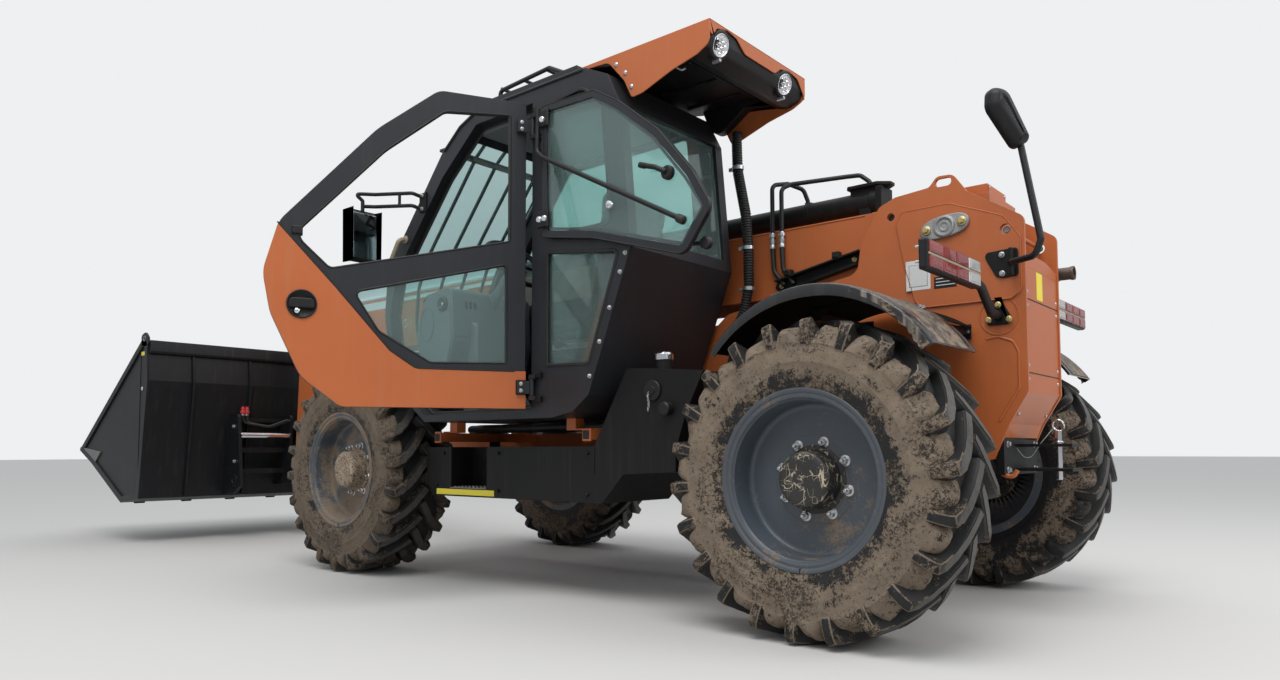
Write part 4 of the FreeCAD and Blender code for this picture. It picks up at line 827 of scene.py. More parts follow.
# %% Rim finish
def rim_finish(name, mud_amount, lines):
    # Brown splashes by noise, and thin looping lines where mud ran and dried: the rims of bent noise bands
    net = new_material(name, coat_weight=0.1, coat_roughness=0.2)
    place = net.place()
    patch = net.noise(place, 5.0, 5.0, 0.6, 0.3)
    fine = net.noise(place, 90.0, 4.0, 0.7)
    paint = net.mix(patch, shaded(RIM_GREY, 0.8), shaded(RIM_GREY, 1))
    thin = net.near_half(net.noise(place, 11.0, 1.0, 0.4, 1.6), 0.012, 0.004)
    some = net.ramp(net.noise(place, 4.0, 3.0), 0.5, 0.62)
    thin = net.mul(net.mul(thin, some), lines)
    level = net.add(net.mul(patch, 0.7), net.mul(fine, 0.3))
    edges = net.group(edge_wear, Radius=0.006, Amount=0.75)
    mask = net.math("MAXIMUM", net.ramp(level, 1.0 - mud_amount, 1.10 - mud_amount), thin)
    mask = net.math("MAXIMUM", mask, net.mul(edges["Mask"], 0.55))
    brown = net.mix(fine, MUD_DARK, (0.24, 0.185, 0.135, 1))
    net.feed(net.shader, {"Base Color": net.mix(mask, paint, brown), "Roughness": net.blend(mask, 0.42, 0.95),
        "Normal": net.bump(net.mul(net.add(mask, fine), 0.0006), normal=edges["Normal"])})


def cap_finish(name, soil_amount):
    # Black casting with pale dry stalks: very thin rims of stretched noise
    net = new_material(name)
    place = net.place()
    fine = net.noise(place, 70.0, 6.0, 0.8)
    stalks = None
    for scale, stretch in ((26.0, (1.0, 1.0, 0.22)), (24.0, (0.25, 1.0, 1.0)), (22.0, (0.6, 1.0, 0.5))):
        band = net.near_half(net.noise(net.stretch(place, stretch), scale, 1.0, 0.5, 0.8), 0.014, 0.003)
        stalks = net.math("MAXIMUM", stalks, band) if stalks else band
    stalks = net.mul(stalks, net.ramp(net.noise(place, 20.0, 3.0), 0.45, 0.55))
    soil = net.ramp(fine, 0.72 - soil_amount, 0.80 - soil_amount)
    black = net.mix(fine, (0.008, 0.008, 0.008, 1), (0.03, 0.028, 0.026, 1))
    base = net.mix(stalks, net.mix(soil, black, MUD), (0.45, 0.38, 0.27, 1))
    net.feed(net.shader, {"Base Color": base, "Roughness": net.blend(soil, 0.55, 0.95),
        "Normal": net.bump(net.mul(net.add(fine, stalks), 0.002))})


RIM_GREY = (0.060, 0.075, 0.092)
# Share of mud, strength of the thin lines, earth on the hub's cap
rim_looks = {"fl": (0.57, 0.6, 0.30), "fr": (0.52, 0.8, 0.1), "rl": (0.43, 1.0, 0.02), "rr": (0.48, 1.0, 0.1)}

# %% Rim shapes
# Outer face of the rim, from the lock ring's edge to the hub: width outwards, radius
rim_section = ((-186, 296), (-186, 335), (-182, 336.5), (-178, 332), (-177, 314), (-172, 306), (-160, 304),
    (-100, 300), (60, 296), (160, 302), (172, 306), (177, 314), (178, 330), (181, 336), (185, 337), (188, 334),
    (188.5, 328), (186, 322), (184, 319), (181, 318), (180.5, 315), (182, 312), (182, 305), (179, 300), (172, 297),
    (168, 292), (150, 289), (90, 286), (78, 284), (70, 279), (66, 272), (65, 262), (64, 230), (64, 168), (66, 166),
    (66, 100))
rim_back = ((50, 100), (50, 262), (46, 278), (30, 288), (-40, 290), (-120, 288), (-160, 291), (-172, 296),
    (-186, 296))
cap_section = ((64, 128), (70, 128), (72, 124), (72, 110), (80, 107), (140, 105), (150, 104), (156, 100), (160, 92),
    (161, 78), (158.5, 60), (158, 0))
hub_back = ((-15, 58), (-15, 105), (34, 105), (36, 160), (50, 162), (50, 100))
STUD_CIRCLE, STUDS = 142, 8

for tag, (axle_x, side) in wheels.items():
    mud_amount, lines, soil = rim_looks[tag]
    paint, cap_paint, out = "rim_" + tag, "cap_" + tag, (0, side, 0)
    rim_finish(paint, mud_amount, lines)
    cap_finish(cap_paint, soil)
    rim = Piece(paint + "_turned", "wheel_" + tag)
    for section, finish_name, segments in ((rim_section, paint, 96), (rim_back, paint, 96), (hub_back, cap_paint, 48),
        (cap_section, cap_paint, 64)):
        rim.turned(section, (0, 0, 0), out, finish_name, segments)
    rim.block(-2.5, 2.5, side * 181, side * 189.2, -338, -317, "seal_rubber", 0.3)
    for k in range(STUDS):
        angle = math.tau * (k + 0.35) / STUDS
        x, z = math.cos(angle) * STUD_CIRCLE, math.sin(angle) * STUD_CIRCLE
        rim.turned(((0, 21), (3, 21), (4, 19.5), (4, 0)), (x, side * 65, z), out, "zinc_steel", 20)
        rim.bolt((x, side * 69, z), out, 15, "zinc_steel", washer=False, stud=14)
    for vertex in rim.mesh.verts:
        vertex.co += HITCH
    made = rim.make()
    made.parent = None
    made.location = at(axle_x, side * HALF_TRACK, TYRE_RADIUS)
    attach(made, "wheel_" + tag)
    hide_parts("rim_" + tag)
print("four rims")

# %% [markdown]
# ## Visor over the cab's rear window
# Orange sheet on top, on both sides and along the rear, over a black moulded lining that carries two work lamps.
# The rear sheet's lower edge arches over each lamp, so it is drawn as an outline seen from behind, and the side
# plates as outlines seen from the side. The lining is one profile pulled across, with its rolled rear edge.

# %% Visor
visor = Piece("visor_dressed", "frame")
VISOR_LEFT, VISOR_RIGHT, VISOR_TOP, VISOR_REAR = 1004, 216, 2488, 438
visor_side = ((1166, 2486), (1166, 2470), (1000, 2460, 60), (905, 2350, 60), (862, 2262, 22), (800, 2268, 40),
    (640, 2322, 200), (505, 2352, 60), (438, 2385, 40), (438, 2486))
# Rear sheet seen from behind: y, z
visor_band = ((1000, 2487), (1000, 2410, 20), (975, 2425, 15), (948, 2462, 25), (870, 2481, 40), (800, 2470, 30),
    (735, 2424, 45), (490, 2422, 45), (440, 2458, 30), (365, 2474, 40), (285, 2462, 30), (228, 2400, 30), (222, 2380),
    (222, 2478, 12), (240, 2487))
visor_lining = ((1150, 2478), (446, 2478), (446, 2420, 20), (462, 2380, 30), (530, 2358, 40), (600, 2380, 30),
    (640, 2428, 30), (880, 2432, 60), (1000, 2446), (1150, 2474))
for low, high in ((VISOR_LEFT - 5, VISOR_LEFT), (VISOR_RIGHT, VISOR_RIGHT + 5)):
    visor.plate(visor_side, low, high, ORANGE, 1.2)
visor.plate(visor_band, VISOR_REAR, VISOR_REAR + 5, ORANGE, 1.2, plane="yz")
visor.plate(((VISOR_REAR, VISOR_LEFT - 2), (1166, VISOR_LEFT - 2), (1166, VISOR_RIGHT + 2),
    (VISOR_REAR, VISOR_RIGHT + 2)), VISOR_TOP - 5, VISOR_TOP, ORANGE, 1.5, plane="xy")
visor.plate(visor_lining, VISOR_RIGHT + 5, VISOR_LEFT - 5, PLASTIC, 2)
visor.plate(((700, 2434), (560, 2405, 30), (560, 2388, 20), (740, 2405, 40), (900, 2300, 60), (960, 2340),
    (1000, 2446)), VISOR_RIGHT + 6, VISOR_RIGHT + 60, PLASTIC, 3)
for x, z in ((952, 2437), (898, 2384), (862, 2312)):
    visor.turned(((0, 11), (3, 10.5), (6, 7), (7, 0)), (x, VISOR_LEFT, z), Y, ZINC, 20)
    visor.turned(((0, 11), (3, 10.5), (6, 7), (7, 0)), (x, VISOR_RIGHT, z), -Y, ZINC, 20)
for y in (400, 610, 820):
    visor.block(660, 1000, y - 5, y + 5, 2420, 2440, PLASTIC, 2)
visor.block(655, 668, 260, 960, 2418, 2440, PLASTIC, 2)

lamp_way = Vector((-0.93, 0.10, -0.36)).normalized()
for y in (905, 385):
    middle = Vector((462, y, 2412))
    visor.turned(((-46, 30), (-40, 52), (-20, 62), (8, 62), (14, 58), (16, 50), (6, 46)), middle, lamp_way, PLASTIC,
        40)
    visor.turned(((4, 0), (4, 40), (10, 47), (15, 48), (18, 45), (12, 41), (11, 0)), middle, lamp_way, "work_lamp",
        40)
    across = Y.cross(lamp_way).normalized()
    other = lamp_way.cross(across)
    cells = [(0, 0)] + [(24, math.tau * k / 6) for k in range(6)]
    for reach, angle in cells:
        spot = middle + lamp_way * 10 + (across * math.cos(angle) + other * math.sin(angle)) * reach
        visor.turned(((0, 11.5), (4, 11.5), (5, 10), (2, 3), (2, 0)), spot, lamp_way, CHROME, 20)
    visor.block(452, 492, y - 7, y + 7, 2340, 2352, ZINC, 1)
visor.tube(((700, 905, 2424), (690, 900, 2385), (672, 885, 2372), (655, 880, 2378)), 6, 10, ZINC)
visor.rod((640, 935, 2430), (650, 935, 2380), 5, ZINC)
for x, y in ((860, 880), (815, 870)):
    visor.rod((x, y, 2432), (x, y, 2404), 9, "yellow_zinc")
visor.make(replaces=("visor",))

# %% [markdown]
# ## Tower, boom pin and rear cover
# The two big plates are flat in the drawing. The real ones carry a ground weld bead round the doubler, an
# embossed fold down the rear, a silver cover casting over each end of the boom pin, labels and the hidden ends of
# two pins. Each is a thin shape laid on the plate's own face, so that light catches its edge.

# %% Tower plates
PLATE_FACE = 240
DOUBLER_FACE = 248
FRAME_GAP = 224
PIVOT = (-239, 1646)
doubler = ((-110, 1310, 60), (-60, 1480, 60), (-20, 1690), (-47, 1744, 20), (-257, 1746, 60), (-478, 1655, 60),
    (-543, 1560, 40), (-543, 1340, 40), (-500, 1310, 20))
fold_line = ((-395, 1155), (-440, 1162), (-500, 1140), (-521, 1095), (-521, 950), (-440, 818))
tower = Piece("tower_details", "frame")
for side in (1, -1):
    outer = [(p[0], p[1]) + tuple(p[2:]) for p in doubler]
    low, high = sorted((side * PLATE_FACE, side * (DOUBLER_FACE + 1.5)))
    tower.frame(outer, 5, low, high, ORANGE, 1.5)
    run = [(x, side * PLATE_FACE, z) for x, z in fold_line]
    tower.tube(run, 5, 30, ORANGE, 10)
    tower.turned(((0, 80), (3, 79), (3, 74), (0, 73)), (-448, side * PLATE_FACE, 1246), (0, side, 0), ORANGE, 48)
    # Pins behind the rear and the front bore
    tower.rod((-484, side * 216, 1597), (-484, side * 232, 1597), 14, STEEL)
    tower.rod((6, side * 200, 1731), (6, side * 226, 1731), 16, PLASTIC)
tower.rod((-484, -220, 1597), (-484, 220, 1597), 9, ORANGE)
# Labels without words: a white one, a dark striped one
tower.block(-171, -62, DOUBLER_FACE, DOUBLER_FACE + 0.8, 1389, 1519, "sign_white", 0.3)
tower.block(-158, -76, DOUBLER_FACE + 0.8, DOUBLER_FACE + 1.1, 1404, 1500, "grey_plastic", 0.1)
tower.block(-156, -78, DOUBLER_FACE + 1.1, DOUBLER_FACE + 1.4, 1406, 1498, "sign_white", 0.1)
tower.block(-282, -186, DOUBLER_FACE, DOUBLER_FACE + 0.8, 1386, 1436, PLASTIC, 0.3)
for z in (1398, 1412, 1426):
    tower.block(-276, -194, DOUBLER_FACE + 0.8, DOUBLER_FACE + 1.2, z, z + 3, "sign_white", 0.1)
# Rear cover: seams, screws, blank yellow strip and an orange plate along its top
COVER_FACE = -549
for z in (1311, 1012):
    tower.block(COVER_FACE - 1.5, COVER_FACE, -222, 222, z - 2, z + 2, SEAL, 0.3)
    for y in (-205, 205):
        for dz in (-28, 28):
            tower.turned(((0, 8), (3, 7), (4.5, 3), (4.5, 0)), (COVER_FACE, y, z + dz), -X, ZINC, 16)
tower.block(COVER_FACE - 0.8, COVER_FACE, -8, 76, 1322, 1482 - 45, "sign_yellow", 0.2)
tower.plate(((-223, 1440), (223, 1440), (223, 1475), (60, 1500, 20), (-60, 1500, 20), (-223, 1475)), COVER_FACE,
    COVER_FACE + 5, ORANGE, 1, plane="yz")
for y in (-190, 190):
    tower.turned(((0, 8), (3, 7), (4.5, 3), (4.5, 0)), (-500, y, 846), (-0.86, 0, -0.5), ZINC, 16)
tower.make()

# %% [markdown]
# The cover casting is an oval flange with a raised ring, a recessed middle and two plated bolts. A second
# casting stands on the far side.

# %% Boom pin castings
pin = Piece("boom_pin_castings", "frame")
for side in (1, -1):
    face = side * DOUBLER_FACE
    out = (0, side, 0)
    oval = []
    for k in range(48):
        angle = math.tau * k / 48
        flare = 1 - 0.12 * math.cos(2 * angle)
        oval.append((PIVOT[0] + math.cos(angle) * 104, PIVOT[1] + math.sin(angle) * 58 / flare * 0.92 +
            math.cos(angle) * -12))
    low, high = sorted((face, face + side * 14))
    pin.plate(oval, low, high, "cast_silver", 3)
    centre = (PIVOT[0], face, PIVOT[1])
    pin.turned(((12, 47), (19, 45), (21, 42), (21, 36), (18, 33), (14, 31), (13, 24), (17, 22), (17, 15), (10, 12),
        (8, 0)), centre, out, "cast_silver", 48)
    for dx, dz in ((-76, 9), (76, -9)):
        spot = (PIVOT[0] + dx, face + side * 14, PIVOT[1] + dz)
        pin.turned(((0, 21), (3, 20), (3, 0)), spot, out, "cast_silver", 24)
        pin.bolt((spot[0], face + side * 17, spot[2]), out, 14, "yellow_zinc", washer=True)
pin.rod((PIVOT[0], -DOUBLER_FACE, PIVOT[1]), (PIVOT[0], DOUBLER_FACE, PIVOT[1]), 45, STEEL)
pin.make(replaces=("boom_pin",))

# %% [markdown]
# ## Tail lamps and mirrors
# Each tail lamp is a black tray with two rows of four lenses and a divider, turned a little outwards, on a bent
# tube with a three-bolt flange. The lenses differ: three red and one clear. Mirrors hang on bent tubes too.

# %% Tail lamps
lamp = Piece("tail_lamps_dressed", "frame")
face_x = -475
LAMP_FOOT = (-448, 1246)
for side in (1, -1):
    y0, y1 = sorted((side * 520, side * 1035))
    lamp.block(face_x + 8, face_x + 35, y0, y1, 1316, 1420, PLASTIC, 6)
    lamp.block(face_x + 2, face_x + 12, y0 + 3, y1 - 3, 1319, 1417, PLASTIC, 3)
    lamp.block(face_x - 1, face_x + 8, y0 + 8, y1 - 8, 1364, 1372, "handle_tan", 1.5)
    width = 499 / 4
    for row, (z0, z1) in enumerate(((1374, 1413), (1323, 1362))):
        for k in range(4):
            near = 528 + k * width
            a, b = sorted((side * (near + 3), side * (near + width - 4)))
            colour = "lamp_clear" if k == 0 else "lamp_red"
            lamp.block(face_x - 3, face_x + 8, a, b, z0, z1, colour, 3)
            lamp.block(face_x - 5, face_x, a + 10, b - 10, z0 + 7, z1 - 7, colour, 3)
    for z in (1342, 1394):
        lamp.rod((face_x + 35, side * 1025, z), (face_x + 48, side * 1025, z), 5, ZINC)
    x, z = LAMP_FOOT
    arm = ((x, side * 246, z), (x, side * 330, z), (-456, side * 465, 1330), (-456, side * 560, 1350))
    lamp.tube(arm, 18, 40, PLASTIC, 20, 8)
    triangle = ((x - 66, z - 38, 22), (x + 66, z - 38, 22), (x + 6, z + 74, 26), (x - 6, z + 74, 26))
    low, high = sorted((side * 240, side * 250))
    lamp.plate(triangle, low, high, BLACK, 2)
    for dx, dz in ((-42, -19), (40, -16), (0, 43)):
        lamp.bolt((x + dx, side * 250, z + dz), (0, side, 0), 10, "yellow_zinc")
lamp.make(replaces=("tail_lamps",))

# %% Mirrors
mirror = Piece("mirrors_dressed", "frame")
# Rear mirror: folded bracket plate, clamp and bent tube up to the head
mirror.plate(((-533, 1515, 14), (-533, 1400, 14), (-470, 1396, 10), (-446, 1404, 12), (-400, 1492, 20),
    (-412, 1508, 14)), 248, 256, BLACK, 2)
mirror.block(-520, -508, 256, 296, 1400, 1508, BLACK, 2)
for z in (1503, 1426):
    mirror.bolt((-470, 256, z - 12), Y, 9, ZINC)
mirror.tube(((-512, 280, 1450), (-540, 330, 1442), (-640, 400, 1440), (-661, 400, 1500), (-590, 378, 1885),
    (-570, 400, 1960)), 13, 32, PLASTIC, 20, 8)
# Front mirror: double-bar bracket on the front pillar, housing hung under it
for z in (2104, 2036):
    mirror.tube(((2310, 1052, z - 28), (2330, 1110, z - 12), (2540, 1200, z), (2566, 1262, z - 6)), 10, 24, PLASTIC,
        16)
mirror.rod((2400, 1142, 2094), (2400, 1142, 2020), 8, PLASTIC)
mirror.tube(((2566, 1262, 2098), (2578, 1300, 2092), (2566, 1262, 2060), (2566, 1262, 1985)), 10, 12, PLASTIC, 16)
mirror.block(2280, 2336, 1046, 1062, 1996, 2100, BLACK, 4)
for z in (2012, 2084):
    mirror.bolt((2308, 1062, z), Y, 8, ZINC)
mirror.plate(((2545, 1720, 26), (2590, 1720, 26), (2594, 2004, 30), (2549, 2004, 30)), 1172, 1346, PLASTIC, 16)
mirror.plate(((2540, 1738, 4), (2547, 1738, 4), (2551, 1986, 4), (2544, 1986, 4)), 1188, 1330, "mirror_glass", 1)
# Rear head: a moulded shell that bulges to the back with a crease down its middle, glass on the other side
mirror.turn = Matrix.Translation((-570, 400, 0)) @ Matrix.Rotation(math.radians(50), 4, "Z")
shell = rounded(((105, 2102, 35), (110, 2020, 60), (-2, 1862, 28), (-70, 1905, 25), (30, 2102, 60)), 8)
levels = ((0, -17), (0, 4), (3, 12), (10, 24), (22, 34), (34, 39))
verts = []
for depth, level in levels:
    verts += [(p.x, level, p.y) for p in offset_ring(shell, depth)]
crease = len(verts)
verts += [(-22, 33, 1935), (22, 43, 1998), (62, 36, 2058)]
count = len(shell)
faces = [list(range(count))]
for band in range(len(levels) - 1):
    for i in range(count):
        j = (i + 1) % count
        faces.append((band * count + i, (band + 1) * count + i, (band + 1) * count + j, band * count + j))
ring = [(len(levels) - 1) * count + i for i in range(count)]
spine = [Vector(v) for v in verts[crease:]]
near = [min(range(3), key=lambda n: (Vector(verts[i]) - spine[n]).length) for i in ring]
for a in range(count):
    b = (a + 1) % count
    if near[a] == near[b]:
        faces.append((ring[a], crease + near[a], ring[b]))
    else:
        faces.append((ring[a], crease + near[a], crease + near[b], ring[b]))
mirror.add(verts, faces, PLASTIC)
mirror.plate([(p.x, p.y) for p in offset_ring(shell, 8)], -19, -16, "mirror_glass", 0.5)
mirror.make(replaces=("mirrors",))

# %% [markdown]
# ## Rear fenders
# Each fender is one black moulding: a band round the wheel with a rounded outer edge that turns down into a lip.
# The lip is deeper over the wheel than at its ends, and the underside is matt with road grime. Over the wheel a
# dark matt sheet runs from the moulding to the tower plate: painted shade under the fender. Bars from the tower
# plate carry it. Mud has run down the rear part and dried in a ragged sheet with its own lighter finish.

# %% Fenders
FENDER_MIDDLE = (-20, 757)
FENDER_START, FENDER_END = 37, 147
SPLASH_START = 108
fender = Piece("fenders_dressed", "frame")


def fender_band(first, last, steps, paint):
    verts, faces, below = [], [], []
    for i in range(steps + 1):
        degrees = first + (last - first) * i / steps
        angle = math.radians(degrees)
        lip = 528 - 16 * math.sin(math.pi * (degrees - FENDER_START) / (FENDER_END - FENDER_START))
        section = [(551, 641), (551, 648), (554, 652), (554, 1024), (552, 1030), (546, 1033.5), (lip + 2, 1033.5),
            (lip, 1035), (lip, 1038.5), (lip + 2, 1040), (547, 1040), (555, 1038), (559, 1033), (560.5, 1025),
            (560, 654), (563, 650), (563, 643), (561, 640), (553, 640)]
        for r, y in section:
            verts.append((FENDER_MIDDLE[0] + math.cos(angle) * r, side * y, FENDER_MIDDLE[1] + math.sin(angle) * r))
    count = len(section)
    for i in range(steps):
        for n in range(count):
            m = (n + 1) % count
            (below if n < 5 else faces).append((i * count + n, i * count + m, (i + 1) * count + m,
                (i + 1) * count + n))
    faces.append(list(range(count)))
    faces.append(list(range(steps * count, (steps + 1) * count)))
    fender.add(verts, faces, paint, True)
    fender.add(verts, below, "road_grime", True)


for side in (1, -1):
    fender_band(FENDER_START, FENDER_END, 60, "gloss_black")
    # A dark matt sheet hangs from the moulding's inner edge to the tower plate, over the wheel only: painted shade
    # under the fender
    verts, faces = [], []
    for i in range(25):
        angle = math.radians(50 + 76 * i / 24)
        for r, y in ((553.5, 652), (553.5, 262), (549.5, 262), (549.5, 652)):
            verts.append((FENDER_MIDDLE[0] + math.cos(angle) * r, side * y, FENDER_MIDDLE[1] + math.sin(angle) * r))
        if i:
            faces += [(4 * i - 4 + n, 4 * i - 4 + (n + 1) % 4, 4 * i + (n + 1) % 4, 4 * i + n) for n in range(4)]
    faces += [(0, 1, 2, 3), (96, 97, 98, 99)]
    fender.add(verts, faces, "road_grime", True)
    # Dried splash on the rear part: a thin ragged sheet that hangs a little over the lip
    verts, faces = [], []
    columns, rows = 40, 10
    for i in range(columns + 1):
        degrees = SPLASH_START + (FENDER_END - 0.5 - SPLASH_START) * i / columns
        angle = math.radians(degrees)
        share = i / columns
        for j in range(rows + 1):
            across = j / rows
            if across < 0.55:
                r = 561.5
                y = 700 + (1026 - 700) * across / 0.55
            else:
                drop = (across - 0.55) / 0.45
                ragged = noise.noise(Vector((degrees * 0.35, side * 3.0,
                    0.0))) * 16 + noise.noise(Vector((degrees * 1.3, side * 7.0, 0.0))) * 8
                y = 1026 + 15.5 * min(1.0, drop * 3)
                r = 561.5 - drop * (26 + 22 * share + ragged * share)
            verts.append((FENDER_MIDDLE[0] + math.cos(angle) * r, side * y, FENDER_MIDDLE[1] + math.sin(angle) * r))
    for i in range(columns):
        for j in range(rows):
            a = i * (rows + 1) + j
            faces.append((a, a + 1, a + rows + 2, a + rows + 1))
    fender.add(verts, faces, "dried_splash", True)
    for x in (-300, 130):
        top = FENDER_MIDDLE[1] + math.sqrt(554 ** 2 - (x - FENDER_MIDDLE[0]) ** 2)
        y0, y1 = sorted((side * 240, side * 700))
        fender.block(x - 20, x + 20, y0, y1, top - 60, top - 30, BLACK, 3)
        y0, y1 = sorted((side * 642, side * 700))
        fender.block(x - 20, x + 20, y0, y1, top - 34, top - 9, BLACK, 3)
        y0, y1 = sorted((side * 240, side * 250))
        fender.block(x - 36, x + 36, y0, y1, top - 76, top - 14, BLACK, 2)
        for dx in (-26, 26):
            fender.bolt((x + dx, side * 250, top - 45), (0, side, 0), 7, ZINC, washer=False)
        for y in (655, 688):
            fender.bolt((x, side * y, top + 6), (0.0, 0, 1), 8, ZINC)
fender.make(replaces=("fender_left", "fender_right"))

# %% [markdown]
# ## Hoses and the extension cylinder
# Two rigid pipes stand on crimped ferrules, loop over the boom's edge and run back to the cylinder. Below the
# ferrules they go on as hoses behind a folded bracket bar. All of it is bent tube, so each run is one path.

# %% Boom hoses
hoses = Piece("boom_hoses_dressed", "boom")
BOOM_SIDE = 172
HOSE_Y = 194
for x, high in ((640, 2012), (588, 2006)):
    hoses.tube(((x - 62, HOSE_Y - 4, 1505), (x - 6, HOSE_Y, 1580), (x, HOSE_Y, 1690)), 12, 60, RUBBER, 16, 8)
    hoses.turned(((0, 12), (2, 15), (18, 15.5), (22, 13), (26, 15.5), (44, 15.5), (48, 12), (56, 12), (58, 17),
        (74, 17), (76, 12), (80, 11)), (x, HOSE_Y, 1690), Z, ZINC, 20)
hoses.tube(((640, HOSE_Y, 1765), (640, HOSE_Y, 2012), (600, 110, 2030), (560, 26, 2012), (545, 10, 1955),
    (545, 6, 1925)), 11, 34, PLASTIC, 16, 8)
hoses.tube(((588, HOSE_Y, 1765), (588, HOSE_Y, 1985), (560, 150, 2010), (330, 20, 2032), (262, 4, 2030),
    (215, 0, 1990), (200, 0, 1940)), 11, 40, PLASTIC, 16, 8)
for x, y in ((545, 6), (200, 0)):
    hoses.rod((x, y, 1925), (x, y, 1945), 17, PLASTIC)
# Folded bracket bar with two raised clamps and plated bolts
bar = ((176, 1618, 4), (192, 1548, 8), (598, 1462, 4), (640, 1500, 8), (622, 1530, 4))
hoses.plate(bar, BOOM_SIDE + 0.3, BOOM_SIDE + 6, BLACK, 1)
top_edge = ((176, 1618), (622, 1530), (618, 1521), (177, 1609))
low_edge = ((192, 1558), (598, 1472), (598, 1462), (190, 1548))
for edge in (top_edge, low_edge):
    hoses.plate(edge, BOOM_SIDE + 0.3, BOOM_SIDE + 44, BLACK, 1)
for x, z in ((292, 1598), (546, 1548)):
    hoses.block(x - 16, x + 16, BOOM_SIDE + 6, BOOM_SIDE + 50, z - 4, z + 26, PLASTIC, 4)
for x, z in ((214, 1582), (602, 1504)):
    hoses.bolt((x, BOOM_SIDE + 6, z), Y, 9, "yellow_zinc")
hoses.make(replaces=("boom_hoses",))

# %% [markdown]
# The cylinder's rear end is a welded cap with a pointed top plate that has caught earth and grass. A pale yellow
# packing block sits under it. The tail cover's rear face is a lighter plate with four screws.

# %% Cylinder end and boom details
boom = Piece("boom_details", "boom")
ROD_Z = 1885
boom.turned(((0, 40), (4, 58), (30, 62), (64, 62), (68, 55)), (132, 0, ROD_Z), X, BLACK, 40)
boom.plate(((98, -20), (150, -64), (300, -64), (310, -50), (310, 50), (300, 64), (150, 64), (98, 20)), 1950, 1966,
    BLACK, 2, plane="xy")
boom.block(160, 296, -44, 44, ROD_Z, 1952, BLACK, 3)
boom.block(168, 260, -30, 30, 1785, 1832, "sign_yellow", 4)
for x in (520, 1150, 1780):
    boom.turned(((0, 56), (1, 59), (24, 59), (25, 56)), (x, 0, ROD_Z), X, BLACK, 40)
cover_face = -375
boom.block(cover_face - 4, cover_face, -110, 110, 1790, 1832, ORANGE, 1.5)
for y in (-96, 96):
    for z in (1798, 1824):
        boom.turned(((0, 6), (3, 5), (3, 0)), (cover_face - 4, y, z), -X, ZINC, 12)
# Weld beads along the boom's lower edges, and the wear pads' bolts at its front end
for side in (1, -1):
    y = side * 172
    for z in (1451, 1779):
        boom.tube(((160, y, z), (3835, y, z)), 3.5, 1, ORANGE, 8)
    for x in (3715, 3815):
        for z in (1590, 1640):
            boom.bolt((x, y, z), (0, side, 0), 9, ZINC)
    collar = ((3828, 1447), (3850, 1447), (3850, 1783), (3828, 1783))
    low, high = sorted((y, y + side * 8))
    boom.plate(collar, low, high, ORANGE, 2)
boom.make()

# %% [markdown]
# A corrugated guard carries hoses down the cab's rear right corner. Its ridges are real rings along the path, as
# a wave on flat shading would give the outline away. Three plated clips hold it.

# %% Corrugated guard
guard = Piece("corrugated_guard", "frame")
route = bent_path(((806, 258, 2300), (800, 258, 2100), (752, 262, 1870), (738, 262, 1690), (738, 262, 1510),
    (765, 262, 1390), (820, 262, 1290)), 120, 8)
lengths = [0.0]
for a, b in zip(route, route[1:]):
    lengths.append(lengths[-1] + (b - a).length)
ridge = 13.0
across = Y
verts, faces = [], []
stations = int(lengths[-1] / (ridge / 4))
for i in range(stations + 1):
    reach = min(lengths[-1] - 0.01, i * ridge / 4)
    k = max(j for j in range(len(lengths)) if lengths[j] <= reach)
    k = min(k, len(route) - 2)
    share = (reach - lengths[k]) / (lengths[k + 1] - lengths[k])
    p = route[k].lerp(route[k + 1], share)
    ahead = (route[k + 1] - route[k]).normalized()
    a = (across - ahead * across.dot(ahead)).normalized()
    b = ahead.cross(a)
    radius = (25, 27, 27, 25)[i % 4] - (2.5 if i % 4 in (0, 3) else 0)
    for n in range(16):
        angle = math.tau * n / 16
        verts.append(p + (a * math.cos(angle) + b * math.sin(angle)) * radius)
for i in range(stations):
    for n in range(16):
        m = (n + 1) % 16
        faces.append((i * 16 + n, i * 16 + m, (i + 1) * 16 + m, (i + 1) * 16 + n))
guard.add(verts, faces, RUBBER, True)
for x, z in ((796, 2113), (742, 1700), (740, 1496)):
    guard.turned(((-9, 27), (-9, 30), (9, 30), (9, 27)), (x, 262, z), Z, ZINC, 24)
    guard.block(x + 24, x + 52, 256, 268, z - 9, z + 9, ZINC, 1)
guard.make()

# %% [markdown]
# ## Cab, folded door half and door
# The cab is welded from bent tube and glazed with curved glass in rubber seals. The CAD solids already have its
# outline and its openings. What is laid on them here is what makes them read as a cab: seals round every pane,
# the bent bar across the folded half, its latch, hinge blocks, knobs, handles and the loop handle inside.

# %% Cab seals and fittings
CAB_LEFT = 1050
CAB_RIGHT = 275
cab = Piece("cab_details", "frame")
upper_quarter = ((935, 1700, 30), (1350, 1700, 20), (1350, 2350, 20), (1110, 2370, 90), (985, 2250, 60))
lower_quarter = ((1072, 1084, 30), (1355, 1092, 20), (1355, 1640, 20), (890, 1585, 30))
right_window = ((1000, 1560, 40), (2440, 1560, 40), (2440, 1740, 60), (1960, 2330, 80), (1080, 2340, 60))
for outline in (upper_quarter, lower_quarter):
    cab.frame(outline, 16, CAB_LEFT - 12, CAB_LEFT + 4, SEAL, 3)
cab.frame(right_window, 16, CAB_RIGHT - 4, CAB_RIGHT + 12, SEAL, 3)
